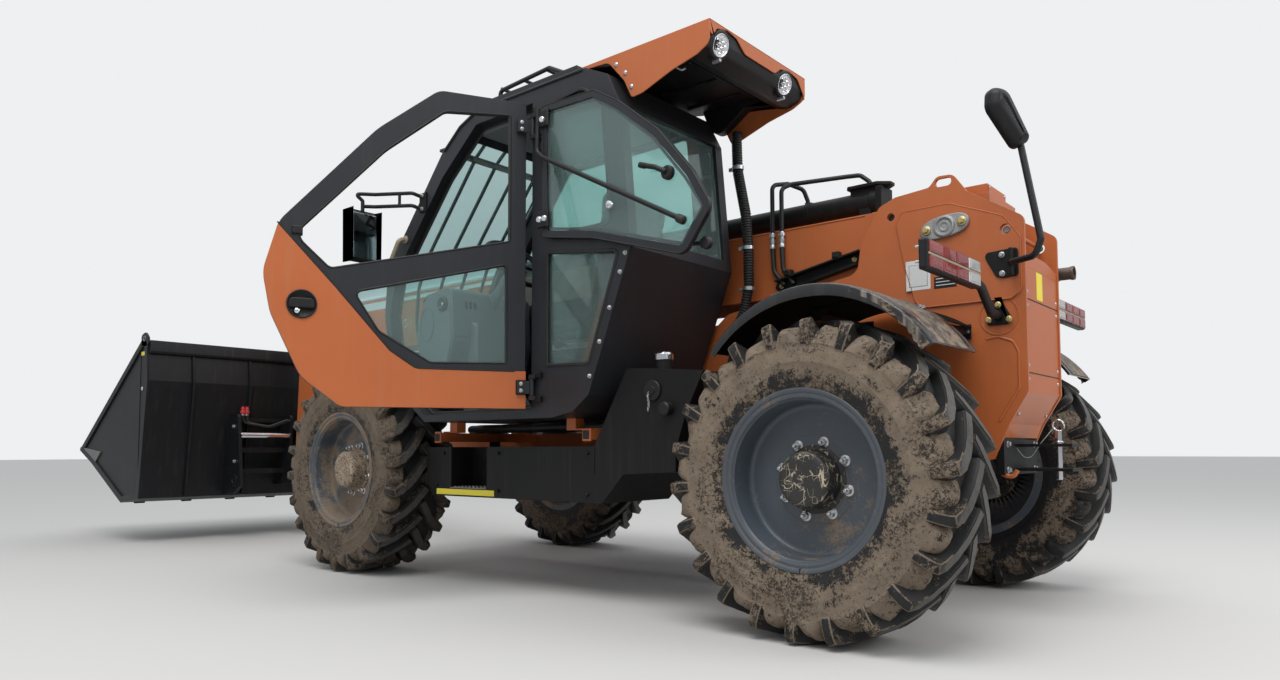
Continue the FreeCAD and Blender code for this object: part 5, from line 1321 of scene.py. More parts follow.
# Door seal: a strip on the inner face of the wall, whose lip ends 6 mm short of the closed door
door_outline = ((26, 900), (853, 897, 60), (1018, 1024, 150), (1144, 1300, 200), (1175, 1470, 150), (1114, 1693, 150),
    (712, 2151, 400), (440, 2369, 90), (26, 2370))
door_edge = [Vector((1430 + p.x, p.y)) for p in rounded(door_outline)]
cab.frame(offset_ring(door_edge, -24), 14, CAB_LEFT - 64, CAB_LEFT - 44, SEAL, 2)
cab.frame(offset_ring(door_edge, -22), 36, CAB_LEFT - 62, CAB_LEFT - 49, SEAL, 4)
# Rear pillar trim, a drip edge along the roof and bolts down the rear edge
cab.tube(((1120, CAB_LEFT + 2, 2446), (1860, CAB_LEFT + 2, 2446), (2000, CAB_LEFT + 2, 2392),
    (2130, CAB_LEFT + 2, 2292)), 7, 60, "cab_black", 12)
for x, z in ((838, 1560), (868, 1480), (930, 1330), (990, 1185), (1050, 1035)):
    cab.bolt((x + 22, CAB_LEFT, z), Y, 8, ZINC)
# Hinge blocks between the cab, the door and the folded half
for z in (1781, 2262):
    cab.block(1300, 1372, CAB_LEFT + 30, CAB_LEFT + 46, z - 40, z + 40, PLASTIC, 5)
    for dx, dz in (((-17, 0), (17, 0)) if z < 2000 else ((0, -8),)):
        cab.turned(((0, 15), (6, 15), (9, 12), (9, 0)), (1336 + dx, CAB_LEFT + 46, z + dz), Y, CHROME, 20)
for z in (1000, 2250):
    cab.block(1372, 1420, CAB_LEFT, CAB_LEFT + 22, z - 70, z - 44, BLACK, 3)
    cab.block(1372, 1420, CAB_LEFT, CAB_LEFT + 22, z + 44, z + 70, BLACK, 3)
# Mud guard of rubber under the rear corner of the folded half
cab.turned(((0, 26), (22, 26), (30, 20), (30, 0)), (456, 1000, 1548), Y, RUBBER, 24)
cab.tube(((456, 1000, 1548), (560, 1010, 1560), (860, 1040, 1600)), 9, 30, BLACK, 12)
# Wiper motor box and arm on the screen, lamp and eye bolt on the roof
cab.tube(((2508, 700, 1130), (2560, 690, 1180), (2678, 700, 1420), (2680, 720, 1500)), 6, 20, PLASTIC)
cab.block(2400, 2520, 640, 760, 1088, 1140, PLASTIC, 8)
ring_points = [(1500 + math.cos(math.tau * k / 24) * 26, 930,
    2520 + math.sin(math.tau * k / 24) * 26) for k in range(25)]
cab.tube(ring_points, 6, 1, ZINC, 10, 1)
cab.rod((1500, 930, 2450), (1500, 930, 2496), 9, ZINC)
# Inner lining of the roof and the rear pillar, seen through the glass
cab.plate(((1150, 2396), (1850, 2396), (1950, 2360), (1900, 2340), (1180, 2340)), 330, 995, "grey_plastic", 4)
cab.make()

# %% Folded half of the door
LEAF_FACE = 1080
leaf = Piece("leaf_details", "frame")
leaf_outline = ((1360, 2330, 20), (1020, 2320, 60), (870, 2230, 120), (650, 2050, 300), (475, 1840, 100),
    (380, 1680, 60), (520, 1495, 60), (1030, 1645, 300), (1345, 1697, 20))
leaf.frame(leaf_outline, 6, LEAF_FACE - 24, LEAF_FACE + 2, SEAL, 2)
inner = [(x, z) for x, z in ((1322, 2294), (1030, 2284), (898, 2206), (684, 2028), (512, 1820), (424, 1684),
    (532, 1540), (1030, 1684), (1310, 1730))]
leaf.frame(inner, 12, LEAF_FACE - 16, LEAF_FACE - 9, "tinted_border", 1)
leaf.tube(((1367, LEAF_FACE + 14, 2312), (1367, LEAF_FACE + 18, 2105), (1332, LEAF_FACE + 20, 2074),
    (520, LEAF_FACE + 20, 1640)), 11, 40, PLASTIC, 16, 8)
leaf.turned(((0, 17), (4, 19), (34, 19), (40, 12), (40, 0)), (534, LEAF_FACE + 20, 1647), (-0.88, 0, -0.47), RUBBER,
    20)
for x, z in ((1366, 2300), (1366, 2120)):
    leaf.rod((x, LEAF_FACE, z), (x, LEAF_FACE + 16, z), 9, PLASTIC)
leaf.rod((612, LEAF_FACE - 10, 1690), (612, LEAF_FACE + 20, 1690), 9, PLASTIC)
# Latch lever with its knob, chrome knob on the quarter pane, rubber buffer
leaf.turned(((0, 30), (18, 30), (26, 24), (26, 0)), (600, LEAF_FACE - 10, 1852), Y, PLASTIC, 28)
leaf.tube(((600, LEAF_FACE + 16, 1852), (650, LEAF_FACE + 26, 1880), (716, LEAF_FACE + 30, 1900)), 11, 20, PLASTIC,
    14)
leaf.rod((696, LEAF_FACE + 30, 1893), (726, LEAF_FACE + 30, 1904), 13, PLASTIC)
leaf.turned(((0, 20), (12, 20), (22, 17), (26, 8), (26, 0)), (922, LEAF_FACE - 10, 1775), Y, CHROME, 28)
leaf.make()

# %% [markdown]
# The door is drawn where it hangs shut and then turned about its hinge line, as in the drawing, so its details
# are placed on a flat door. The turn is the same one that the frame's door node has.

# %% Door details
HINGE = Vector((1430, 1066, 0))
open_turn = Matrix.Translation(HINGE) @ Matrix.Rotation(math.radians(63), 4, "Z") @ Matrix.Translation(-HINGE)
hang = open_turn @ Matrix.Translation((1430, 0, 0))
door = Piece("door_details", "door", hang)
DOOR_SKIN, DOOR_FRAME_FACE, DOOR_IN = 1050, 1040, 1007
door_upper = ((98, 1688, 20), (906, 1496, 40), (1060, 1640, 60), (680, 2060, 300), (414, 2280, 60), (98, 2307, 20))
door_lower = ((112, 1108, 20), (471, 1099, 30), (700, 1232, 60), (812, 1409, 30), (114, 1586, 20))
for outline in (door_upper, door_lower):
    door.frame(outline, 9, DOOR_IN + 6, DOOR_FRAME_FACE + 3, SEAL, 3)
door.frame(offset_ring(rounded(door_outline), 36), 12, DOOR_IN - 8, DOOR_IN, SEAL, 3)
# Seam between frame and panel
run = [(x, DOOR_SKIN - 1, z) for x, z in ((1120, 1684), (871, 1410), (648, 1151), (534, 1075), (80, 1075))]
door.tube(run, 3.5, 60, PLASTIC, 8)
# Round handle: black dish, paddle and lock
handle = (1017, DOOR_SKIN, 1336)
door.turned(((-8, 0), (-8, 40), (-2, 56), (0, 62), (6, 62), (7, 58), (1, 52), (-5, 40)), handle, Y, PLASTIC, 40)
door.plate(((962, 1318, 10), (1072, 1318, 10), (1068, 1362, 20), (966, 1362, 20)), DOOR_SKIN - 2, DOOR_SKIN + 12,
    PLASTIC, 5)
door.turned(((0, 11), (8, 11), (10, 8), (10, 0)), (1036, DOOR_SKIN + 4, 1304), Y, CHROME, 20)
# Inner side: pull bar, latch block, lining of the panel
door.tube(((240, DOOR_IN - 2, 1640), (240, DOOR_IN - 44, 1640), (700, DOOR_IN - 44, 1534), (700, DOOR_IN - 2, 1534)),
    12, 26, PLASTIC, 16)
door.plate(((560, 1040, 20), (840, 940, 40), (980, 1050, 60), (1100, 1310, 80), (1120, 1480, 60), (1060, 1560, 40),
    (860, 1360, 60)), DOOR_IN - 14, DOOR_IN - 1, "grey_plastic", 5)
door.block(1052, 1100, DOOR_IN - 30, DOOR_IN - 2, 1300, 1400, STEEL, 3)
door.block(1018, 1062, DOOR_IN - 4, DOOR_FRAME_FACE + 10, 1640, 1676, PLASTIC, 4)
for z in (1000, 2250):
    for dz in (-16, 16):
        door.bolt((52, DOOR_FRAME_FACE + 24, z + dz), Y, 7, ZINC)
door.make()

# %% [markdown]
# ## Driver's place
# Seen through green glass, yet the door stands open, so the seat, dash and wheel have to hold up. The dash is a
# grey moulding with an oval cover, a round vent and a small display. The wheel has a thick rim and a horn boss.

# %% Dash details
SEAT_Y = 655
dash = Piece("dash_details", "frame")
dash_low, dash_high = 380, 945
dash.plate(((2176, 1302, 30), (2196, 1596, 40), (2436, 1566, 40), (2440, 1540), (2210, 1560, 30), (2196, 1300)),
    dash_low - 2, dash_high + 3, "grey_plastic", 6)
side_panel = ((2290, 940, 20), (2440, 1104, 20), (2496, 1350, 40), (2430, 1552, 50), (2206, 1580, 50),
    (2186, 1310, 60))
dash.plate(side_panel, dash_high, dash_high + 8, "grey_plastic", 5)
oval = [(2400 + math.cos(math.tau * k / 32) * 62, 1400 + math.sin(math.tau * k / 32) * 96) for k in range(32)]
dash.frame(oval, 5, dash_high + 8, dash_high + 13, "grey_plastic", 2)
dash.turned(((0, 40), (8, 40), (12, 36), (12, 30), (4, 26), (2, 0)), (2258, dash_high + 8, 1500), Y, PLASTIC, 36)
dash.turned(((2, 0), (9, 10), (9, 0)), (2258, dash_high + 8, 1500), Y, CHROME, 20)
dash.block(2200, 2216, 560, 750, 1440, 1540, PLASTIC, 4)
dash.block(2196, 2202, 575, 735, 1452, 1528, "mirror_glass", 1)
for y in (470, 500, 530, 790, 820, 850):
    dash.block(2188, 2204, y - 11, y + 11, 1480, 1520, PLASTIC, 3)
dash.plate(((2120, 1100, 30), (2262, 1100, 10), (2262, 1420, 10), (2140, 1400, 30)), SEAT_Y - 170, SEAT_Y + 170,
    "grey_plastic", 8)
# Pedals, floor mat and the lever beside the seat
dash.block(1480, 2240, 360, 960, 901, 909, RUBBER, 3)
for y in (540, 780):
    dash.plate(((2040, 950, 8), (2120, 1050, 8), (2128, 1044, 4), (2048, 944, 4)), y - 40, y + 40, STEEL, 2)
    dash.rod((2124, y, 1046), (2160, y, 1130), 9, STEEL)
dash.plate(((1180, 1280, 20), (1560, 1280, 30), (1590, 1400, 30), (1500, 1440, 30), (1180, 1410, 20)), 335, 408,
    "grey_plastic", 8)
dash.tube(((1500, 372, 1430), (1515, 380, 1500), (1530, 400, 1560)), 9, 20, PLASTIC, 14)
dash.turned(((0, 12), (10, 24), (40, 27), (66, 22), (78, 10), (80, 0)), (1530, 400, 1550), (0.2, 0.15, 1), PLASTIC,
    24)
dash.make()

# %% Steering wheel
COLUMN_FOOT, COLUMN_WAY, COLUMN_LENGTH = Vector((2240, SEAT_Y, 1500)), Vector((-0.7226, 0, 0.6912)), 320
hub = COLUMN_FOOT + COLUMN_WAY * (COLUMN_LENGTH + 15)
across = Y
other = COLUMN_WAY.cross(across).normalized()
wheel = Piece("steering_wheel_dressed", "frame")
ring_points = [hub + (across * math.cos(math.tau * k / 48) + other * math.sin(math.tau * k / 48)) * 186 for k in
    range(49)]
wheel.tube(ring_points, 15, 1, PLASTIC, 18, 1)
for angle in (0.15, math.pi - 0.15, -math.pi / 2):
    way = across * math.cos(angle) + other * math.sin(angle)
    wheel.tube((hub + way * 30, hub + way * 110 - COLUMN_WAY * 4, hub + way * 180), 12, 30, PLASTIC, 12)
wheel.turned(((-30, 36), (-10, 46), (8, 50), (20, 44), (24, 30), (24, 0)), hub, COLUMN_WAY, PLASTIC, 36)
knob_way = across * math.cos(0.9) + other * math.sin(0.9)
wheel.rod(hub + knob_way * 176, hub + knob_way * 176 + COLUMN_WAY * 34, 9, ZINC)
wheel.turned(((30, 12), (36, 24), (58, 26), (70, 16), (72, 0)), hub + knob_way * 176, COLUMN_WAY, PLASTIC, 24)
wheel.make(replaces=("steering_wheel",))

# %% [markdown]
# ## Guard, rack and grab handle
# Five flat bars stand off the screen on cross bars with welded feet; the rack on the roof is bent tube. The tan
# loop handle is screwed to the front pillar.

# %% Grab handle and guard feet
grip = Piece("grab_handle", "frame")
grip.tube(((2470, 1052, 1870), (2462, 1098, 1862), (2580, 1098, 1690), (2600, 1052, 1672)), 13, 30, "handle_tan", 16,
    8)
for x, z in ((2470, 1870), (2600, 1672)):
    grip.turned(((-6, 22), (6, 22), (9, 16), (9, 0)), (x, 1052, z), Y, "handle_tan", 24)
for y in (300, 1025):
    for x, z in ((2652, 1640), (2152, 2306)):
        grip.bolt((x, y, z), (0, 1 if y > 600 else -1, 0), 8, ZINC)
grip.make()

# %% [markdown]
# ## Bucket and carriage
# The bucket is plate: a rolled shell, side plates with a raised edge flange, a thick cutting edge with welded
# wear strips and bolt-on ends. The carriage behind it is two webs with pins, a chrome bar and a red coupling.

# %% Bucket details
BUCKET_SIDE = 1220
bucket = Piece("bucket_details", "bucket")
back_low, floor_start, floor_front, floor_tip = (5591, 345), (5937, 303), (6592, 608), (6869, 714)
lip_top, back_top, back_fold = (5604, 1554), (5507, 1536), (5478, 1240)
rim_points = (back_low, floor_start, floor_front, floor_tip, lip_top, back_top, back_fold)
for side in (1, -1):
    y = side * BUCKET_SIDE
    low, high = sorted((y - side * 2, y + side * 14))
    bucket.frame(rim_points, 46, low, high, DEEP_BLACK, 2)
    # Rounded eye at the top rear corner, small knob and seam
    eye = ((5478, 1500, 30), (5600, 1500, 20), (5620, 1590, 34), (5540, 1610, 34), (5490, 1570, 30))
    bucket.plate(eye, low, high, DEEP_BLACK, 2)
    bucket.turned(((0, 22), (4, 22), (4, 15), (0, 14)), (5550, y + side * 14, 1560), (0, side, 0), STEEL, 28)
    bucket.turned(((0, 14), (10, 14), (14, 9), (14, 0)), (5580, y + side * 2, 1180), (0, side, 0), CHROME, 20)
    bucket.block(5640, 5646, y, y + side * 3, 420, 1480, DEEP_BLACK, 0.8)
    plate = ((6540, 592), (6869, 716), (6855, 742), (6400, 700))
    bucket.plate(plate, y - side * 4, y + side * 12, STEEL, 2)
bucket.block(5556, 5640, BUCKET_SIDE, BUCKET_SIDE + 1, 1436, 1466, "sign_yellow", 0.3)
# Cutting edge, wear strips under the floor, stiffener along the top of the back
bucket.plate(((6560, 590), (6872, 712), (6866, 722), (6600, 632), (6555, 606)), -BUCKET_SIDE, BUCKET_SIDE, STEEL, 1.5)
for y in (-1080, -720, -360, 0, 360, 720, 1080):
    bucket.plate(((5960, 306), (6580, 596), (6590, 580), (5975, 290)), y - 40, y + 40, DEEP_BLACK, 2)
bucket.plate(((5505, 1536), (5500, 1460, 10), (5478, 1440, 10), (5462, 1460, 10), (5470, 1550, 10)), -BUCKET_SIDE,
    BUCKET_SIDE, DEEP_BLACK, 3)
for y in (-900, -450, 450, 900):
    bucket.plate(((5474, 1440), (5500, 1440), (5592, 360), (5560, 352), (5450, 1200)), y - 8, y + 8, DEEP_BLACK, 2)
bucket.make()

# %% Carriage details
carriage = Piece("carriage_details", "bucket")
for side in (1, -1):
    carriage.rod((5345, side * 170, 830), (5345, side * 578, 830), 23, CHROME)
    face = side * 600
    carriage.turned(((0, 52), (8, 52), (10, 48), (10, 24), (4, 22), (4, 0)), (5200 + 190, face, 470), (0, side, 0),
        DEEP_BLACK, 32)
    for x, z in ((5390, 620), (5410, 900)):
        carriage.bolt((x, face, z), (0, side, 0), 12, ZINC)
for y in (520, 552):
    carriage.turned(((0, 14), (4, 20), (24, 20), (28, 15), (46, 15), (50, 11), (60, 11)), (5370, y, 1000), Z,
        "coupling_red", 24)
    carriage.turned(((-12, 13), (0, 13), (0, 0)), (5370, y, 1000), Z, ZINC, 6, smooth=False)
    carriage.tube(((5370, y, 995), (5370, y - 10, 930), (5350, y - 200, 900), (5330, y - 360, 960)), 9, 40, RUBBER,
        14)
carriage.make()

# %% [markdown]
# ## Tank and step
# The tank is black moulded plate with a step let into it. It hangs between orange channels. A round cap closes
# the locker behind it, with a little chain, and the filler has a chrome cap on a black neck.

# %% Tank details
TANK_FACE = 950
tank = Piece("tank_details", "frame")
step_low, step_high, step_floor = 1890, 2180, 505
tank.block(step_low, step_high, TANK_FACE - 146, TANK_FACE + 6, step_floor, step_floor + 6, STEEL, 1)
for k in range(9):
    x = step_low + 22 + k * 31
    for y in (TANK_FACE - 110, TANK_FACE - 60, TANK_FACE - 14):
        tank.turned(((6, 9), (11, 7), (11, 4), (6, 3)), (x, y, step_floor), Z, STEEL, 12)
tank.block(step_low - 60, step_high + 120, TANK_FACE, TANK_FACE + 3, step_floor - 34, step_floor - 4, "sign_yellow",
    0.6)
tank.block(step_low, step_high, TANK_FACE - 145, TANK_FACE - 141, 630, 640, BLACK, 1)
for x in (1138, 2384):
    tank.plate(((x - 4, 600), (x + 4, 600), (x + 4, 716), (x - 4, 716)), 480, TANK_FACE + 3, BLACK, 1)
# Orange channels above the tank
for x in (1193, 2306):
    tank.block(x - 27, x + 27, TANK_FACE - 16, TANK_FACE - 4, 746, 806, ORANGE, 3)
    tank.block(x - 20, x + 20, TANK_FACE - 6, TANK_FACE - 2, 756, 796, SEAL, 1)
# Round lock cover with its chain, filler cap, bump under it
tank.turned(((0, 46), (8, 46), (12, 42), (12, 20), (16, 18), (16, 0)), (790, TANK_FACE, 962), Y, PLASTIC, 36)
tank.turned(((0, 30), (34, 30), (40, 24), (40, 0)), (705, TANK_FACE, 880), Y, PLASTIC, 32)
chain = [(800 + math.sin(k * 0.9) * 3, TANK_FACE + 18 + (k % 2) * 3, 950 - k * 9) for k in range(9)]
for k, p in enumerate(chain):
    way = X if k % 2 else Y
    other = Z
    link = [Vector(p) + way * math.cos(math.tau * n / 10) * 4 + other * math.sin(math.tau * n / 10) * 7 for n in
        range(11)]
    tank.tube(link, 1.3, 0.5, ZINC, 6, 1)
tank.turned(((0, 38), (20, 38), (24, 34), (60, 34)), (785, 880, 1040), Z, PLASTIC, 32)
tank.turned(((56, 36), (60, 44), (84, 44), (92, 38), (94, 0)), (785, 880, 1040), Z, CHROME, 36)
for x, z in ((1180, 690), (1180, 500), (1800, 690), (1800, 500), (2240, 690), (2300, 520)):
    tank.bolt((x, TANK_FACE, z), Y, 9, BLACK, washer=False)
tank.make()

# %% [markdown]
# ## Hitch pin
# A chrome pin with a pull ring, held by a thin wire. Below the plates hangs a small orange hook.

# %% Hitch details
hitch = Piece("hitch_details", "frame")
hx, hz = -598, 670
hitch.rod((hx, 0, hz - 92), (hx, 0, hz + 112), 13, CHROME)
hitch.turned(((0, 20), (6, 20), (6, 13)), (hx, 0, hz + 60), Z, CHROME, 24)
ring_points = [(hx + math.cos(math.tau * k / 24) * 22, math.sin(math.tau * k / 24) * 8,
    hz + 132 + math.sin(math.tau * k / 24) * 22) for k in range(25)]
hitch.tube(ring_points, 4, 1, CHROME, 10, 1)
hitch.tube(((hx + 20, 6, hz + 118), (hx + 60, 30, hz + 60), (hx + 110, 44, hz - 20), (hx + 150, 60, hz + 40)), 2, 30,
    ZINC, 8)
hitch.tube(((-420, 190, 640), (-436, 200, 600), (-476, 200, 592), (-492, 196, 620)), 9, 20, ORANGE, 12)
for y in (-180, 180):
    for z in (hz - 50, hz + 55):
        hitch.bolt((-450, y, z), -X, 10, ZINC)
hitch.make()

# %% [markdown]
# ## Seat
# Cushion and backrest are foam under fabric, so they are blown up a little, as cloth over foam is, and not left
# as blocks. Each starts as a rounded form slightly under size, gets even cells, and is inflated for twenty frames
# with a cap on how far any point moves. Seams are pressed in afterwards. The base is a hard suspension.

# %% Seat base
base = Piece("seat_base_dressed", "frame")
base.block(1345, 1595, SEAT_Y - 165, SEAT_Y + 165, 901, 940, PLASTIC, 6)
folds = []
for k in range(7):
    folds += [(k * 34, 148 if k % 2 else 128), (k * 34 + 10, 150 if k % 2 else 130)]
for k, (reach, half) in enumerate(folds):
    if k + 1 < len(folds):
        base.block(1470 - half * 0.82, 1470 + half * 0.82, SEAT_Y - half, SEAT_Y + half, 940 + reach,
            944 + reach + (24 if k % 2 else 6), RUBBER, 3)
base.block(1205, 1640, SEAT_Y - 205, SEAT_Y + 205, 1190, 1244, PLASTIC, 10)
for side in (1, -1):
    y = SEAT_Y + side * 212
    base.block(1260, 1600, min(y, y - side * 16), max(y, y - side * 16), 1196, 1224, STEEL, 2)
    base.plate(((1150, 1230, 20), (1330, 1230, 20), (1300, 1300, 20), (1190, 1330, 30), (1140, 1290, 20)),
        min(y, y + side * 20), max(y, y + side * 20), PLASTIC, 5)
base.rod((1400, SEAT_Y + 215, 1214), (1400, SEAT_Y + 262, 1214), 9, PLASTIC)
base.turned(((0, 20), (6, 24), (22, 24), (28, 18), (28, 0)), (1400, SEAT_Y + 250, 1214), Y, PLASTIC, 24)
base.make(replaces=("seat",))


# %% Padded pieces
def padded_piece(name, outline, half_width, seams, cap=0.012, still_below=None):
    made = Piece(name, "frame")
    made.plate(outline, SEAT_Y - half_width, SEAT_Y + half_width, "seat_fabric", 26, 8)
    made.make()
    pad = bpy.data.objects[name]
    cells = pad.modifiers.new("cells", "REMESH")
    cells.mode = "VOXEL"
    cells.voxel_size = 0.006
    frozen = bpy.data.meshes.new_from_object(pad.evaluated_get(bpy.context.evaluated_depsgraph_get()))
    pad.modifiers.clear()
    pad.data = frozen
    rest = [v.co.copy() for v in frozen.vertices]
    cloth = pad.modifiers.new("cloth", "CLOTH")
    cloth.settings.use_pressure = True
    cloth.settings.uniform_pressure_force = 4
    cloth.settings.effector_weights.gravity = 0
    cloth.collision_settings.use_collision = False
    cloth.point_cache.frame_start, cloth.point_cache.frame_end = 1, 20
    for number in range(1, 21):
        scene.frame_set(number)
    swollen = bpy.data.meshes.new_from_object(pad.evaluated_get(bpy.context.evaluated_depsgraph_get()))
    moved = [v.co.copy() for v in swollen.vertices]
    bpy.data.meshes.remove(swollen)
    pad.modifiers.clear()
    scene.frame_set(1)
    for vertex, old, new in zip(pad.data.vertices, rest, moved):
        step = new - old
        if step.length > cap:
            step *= cap / step.length
        vertex.co = old + step
    # Seams: shallow grooves along lines across and along the pad
    ways = [v.normal.copy() for v in pad.data.vertices]
    for vertex, way in zip(pad.data.vertices, ways):
        spot = vertex.co / MM + HITCH
        deep = sum(math.exp(-(seam(spot) / 6.5) ** 2) for seam in seams)
        vertex.co -= way * min(deep, 1.2) * 0.0055
        if still_below is not None:
            vertex.co.z = max(vertex.co.z, still_below)
    for polygon in pad.data.polygons:
        polygon.use_smooth = True
    pad.modifiers.new("finer", "SUBSURF").levels = 1
    pad.modifiers["finer"].render_levels = 1
    print(name, len(pad.data.polygons), "cells")
    return pad


def along_back(spot):
    return (Vector((spot.x, spot.z)) - Vector((1230, 1260))).dot(Vector((-0.152, 0.988)))


padded_piece("seat_cushion", ((1222, 1252, 26), (1648, 1262, 32), (1650, 1346, 34), (1216, 1336, 26)), 222,
    (lambda p: abs(p.y - SEAT_Y) - 150, lambda p: p.x - 1420, lambda p: p.z - 1280), still_below=at(0, 0, 1245).z)
padded_piece("seat_backrest", ((1178, 1262, 22), (1280, 1290, 22), (1176, 1945, 42), (1088, 1935, 34)), 212,
    (lambda p: abs(p.y - SEAT_Y) - 128, lambda p: along_back(p) - 210, lambda p: along_back(p) - 330,
    lambda p: along_back(p) - 450, lambda p: along_back(p) - 560))

# %% [markdown]
# ## Engine side
# The photograph doesn't show this side. A handler of this size has a long hood with a side grille, a lift handle
# and rubber buffers, a radiator screen at its rear end, a battery box with a lid in the lower unit, and heat
# shields on the exhaust. Each louvre is a folded strip, so the grille has real depth.

# %% Hood details
HOOD_FACE = -1060
hood = Piece("hood_details", "hood")
for z in (856, 1392):
    hood.tube(((800, HOOD_FACE - 1, z), (2150 if z > 1000 else 2340, HOOD_FACE - 1, z)), 5, 20, ORANGE, 10)
grille = ((905, 925, 20), (1345, 925, 20), (1345, 1315, 20), (905, 1315, 20))
hood.frame(grille, 16, HOOD_FACE - 7, HOOD_FACE, PLASTIC, 3)
hood.plate(((915, 935), (1335, 935), (1335, 1305), (915, 1305)), HOOD_FACE - 1.5, HOOD_FACE, SEAL, 0.5)
for k in range(15):
    z = 946 + k * 24
    hood.plate(((HOOD_FACE - 2, z), (HOOD_FACE - 2, z + 3), (HOOD_FACE - 13, z + 15), (HOOD_FACE - 13, z + 12)), 922,
        1328, PLASTIC, 0.6, plane="yz")
for x in (1480, 1620, 1760):
    for k in range(9):
        z = 1000 + k * 26
        hood.plate(((HOOD_FACE - 1, z), (HOOD_FACE - 1, z + 16), (HOOD_FACE - 9, z + 3), (HOOD_FACE - 9, z)), x,
            x + 110, ORANGE, 1, plane="yz")
hood.tube(((2010, HOOD_FACE, 900), (2010, HOOD_FACE - 9, 900), (2170, HOOD_FACE - 9, 900), (2170, HOOD_FACE, 900)), 6,
    6, PLASTIC, 12)
hood.turned(((0, 20), (4, 20), (7, 16), (7, 0)), (1500, HOOD_FACE, 880), -Y, ZINC, 28)
hood.block(1492, 1508, HOOD_FACE - 9, HOOD_FACE - 6, 878, 882, PLASTIC, 0.5)
for x in (1010, 1935):
    hood.block(x, x + 100, -300, -284, 1440, 1450, ZINC, 2)
# Blank warning strip, and the radiator screen at the rear end
hood.block(2200, 2330, HOOD_FACE - 0.8, HOOD_FACE, 1040, 1090, "sign_yellow", 0.3)
screen = ((-1010, 870, 20), (-340, 870, 20), (-340, 1270, 20), (-1010, 1270, 20))
hood.frame(screen, 12, 754, 760, PLASTIC, 2, plane="yz")
for k in range(24):
    z = 886 + k * 16
    hood.rod((757, -1000, z), (757, -350, z), 2.5, PLASTIC, segments=8)
for k in range(20):
    y = -995 + k * 33.5
    hood.rod((756, y, 880), (756, y, 1262), 2, PLASTIC, segments=8)
hood.make()

# %% Engine unit and exhaust details
pod = Piece("engine_unit_details", "frame")
POD_FACE = -1020
pod.plate(((1450, 560, 20), (1900, 560, 20), (1900, 770, 20), (1450, 770, 20)), POD_FACE - 6, POD_FACE, BLACK, 2)
for x in (1490, 1860):
    pod.bolt((x, POD_FACE - 6, 740), -Y, 8, ZINC)
    pod.bolt((x, POD_FACE - 6, 590), -Y, 8, ZINC)
pod.tube(((1610, POD_FACE - 6, 680), (1610, POD_FACE - 26, 680), (1740, POD_FACE - 26, 680),
    (1740, POD_FACE - 6, 680)), 6, 8, PLASTIC, 12)
for x in (850, 980, 1110, 1240):
    pod.plate(((x, 600, 12), (x + 90, 600, 12), (x + 90, 760, 12), (x, 760, 12)), POD_FACE - 3, POD_FACE, SEAL, 1)
pod.tube(((2290, POD_FACE + 4, 700), (2290, POD_FACE - 12, 700), (2290, POD_FACE - 12, 610),
    (2290, POD_FACE + 4, 610)), 7, 8, ZINC, 12)
# Exhaust: end bands and a heat shield on the silencer, its holes drawn as black discs of painted shade, clamps on the
# pipe
EXHAUST_Y = -330
for x in (98, 548):
    pod.turned(((-7, 66), (-7, 70), (7, 70), (7, 66)), (x, EXHAUST_Y, 1490), X, "exhaust_steel", 40)
for x in (-520, -250, 30):
    pod.turned(((-12, 29), (-12, 33), (12, 33), (12, 29)), (x, EXHAUST_Y, 1490), X, ZINC, 28)
pod.turned(((0, 28), (0, 31), (-14, 31), (-14, 24), (30, 24)), (-585, EXHAUST_Y, 1490), X, "exhaust_steel", 32)
shield = [(math.cos(math.radians(a)) * 76, math.sin(math.radians(a)) * 76) for a in range(-60, 121, 12)]
verts, faces = [], []
for x in (140, 510):
    for r in (1.0, 0.965):
        verts += [(x, EXHAUST_Y - c * r, 1490 + s * r) for c, s in shield]
n = len(shield)
for a, b in ((0, 2 * n), (2 * n, 3 * n), (3 * n, n), (n, 0)):
    for i in range(n - 1):
        faces.append((a + i, a + i + 1, b + i + 1, b + i))
for i in (0, n - 1):
    faces.append((i, 2 * n + i, 3 * n + i, n + i))
pod.add(verts, faces, STEEL)
# Black discs on the shield stand for its holes: painted shade
for x in range(170, 490, 40):
    for a in (10, 40, 70):
        c, s = math.cos(math.radians(a)), math.sin(math.radians(a))
        pod.turned(((0, 9), (1.2, 9), (1.2, 0)), (x, EXHAUST_Y - c * 76, 1490 + s * 76), (0, -c, s), SEAL, 12)
pod.make()

# %% [markdown]
# ## Underside
# From behind and from below the axles show their differential covers, steering cylinders, tie rods and drive
# shaft. They are turned and bent parts on the frame; the boots and hoses keep clear of the wheels at full lock.

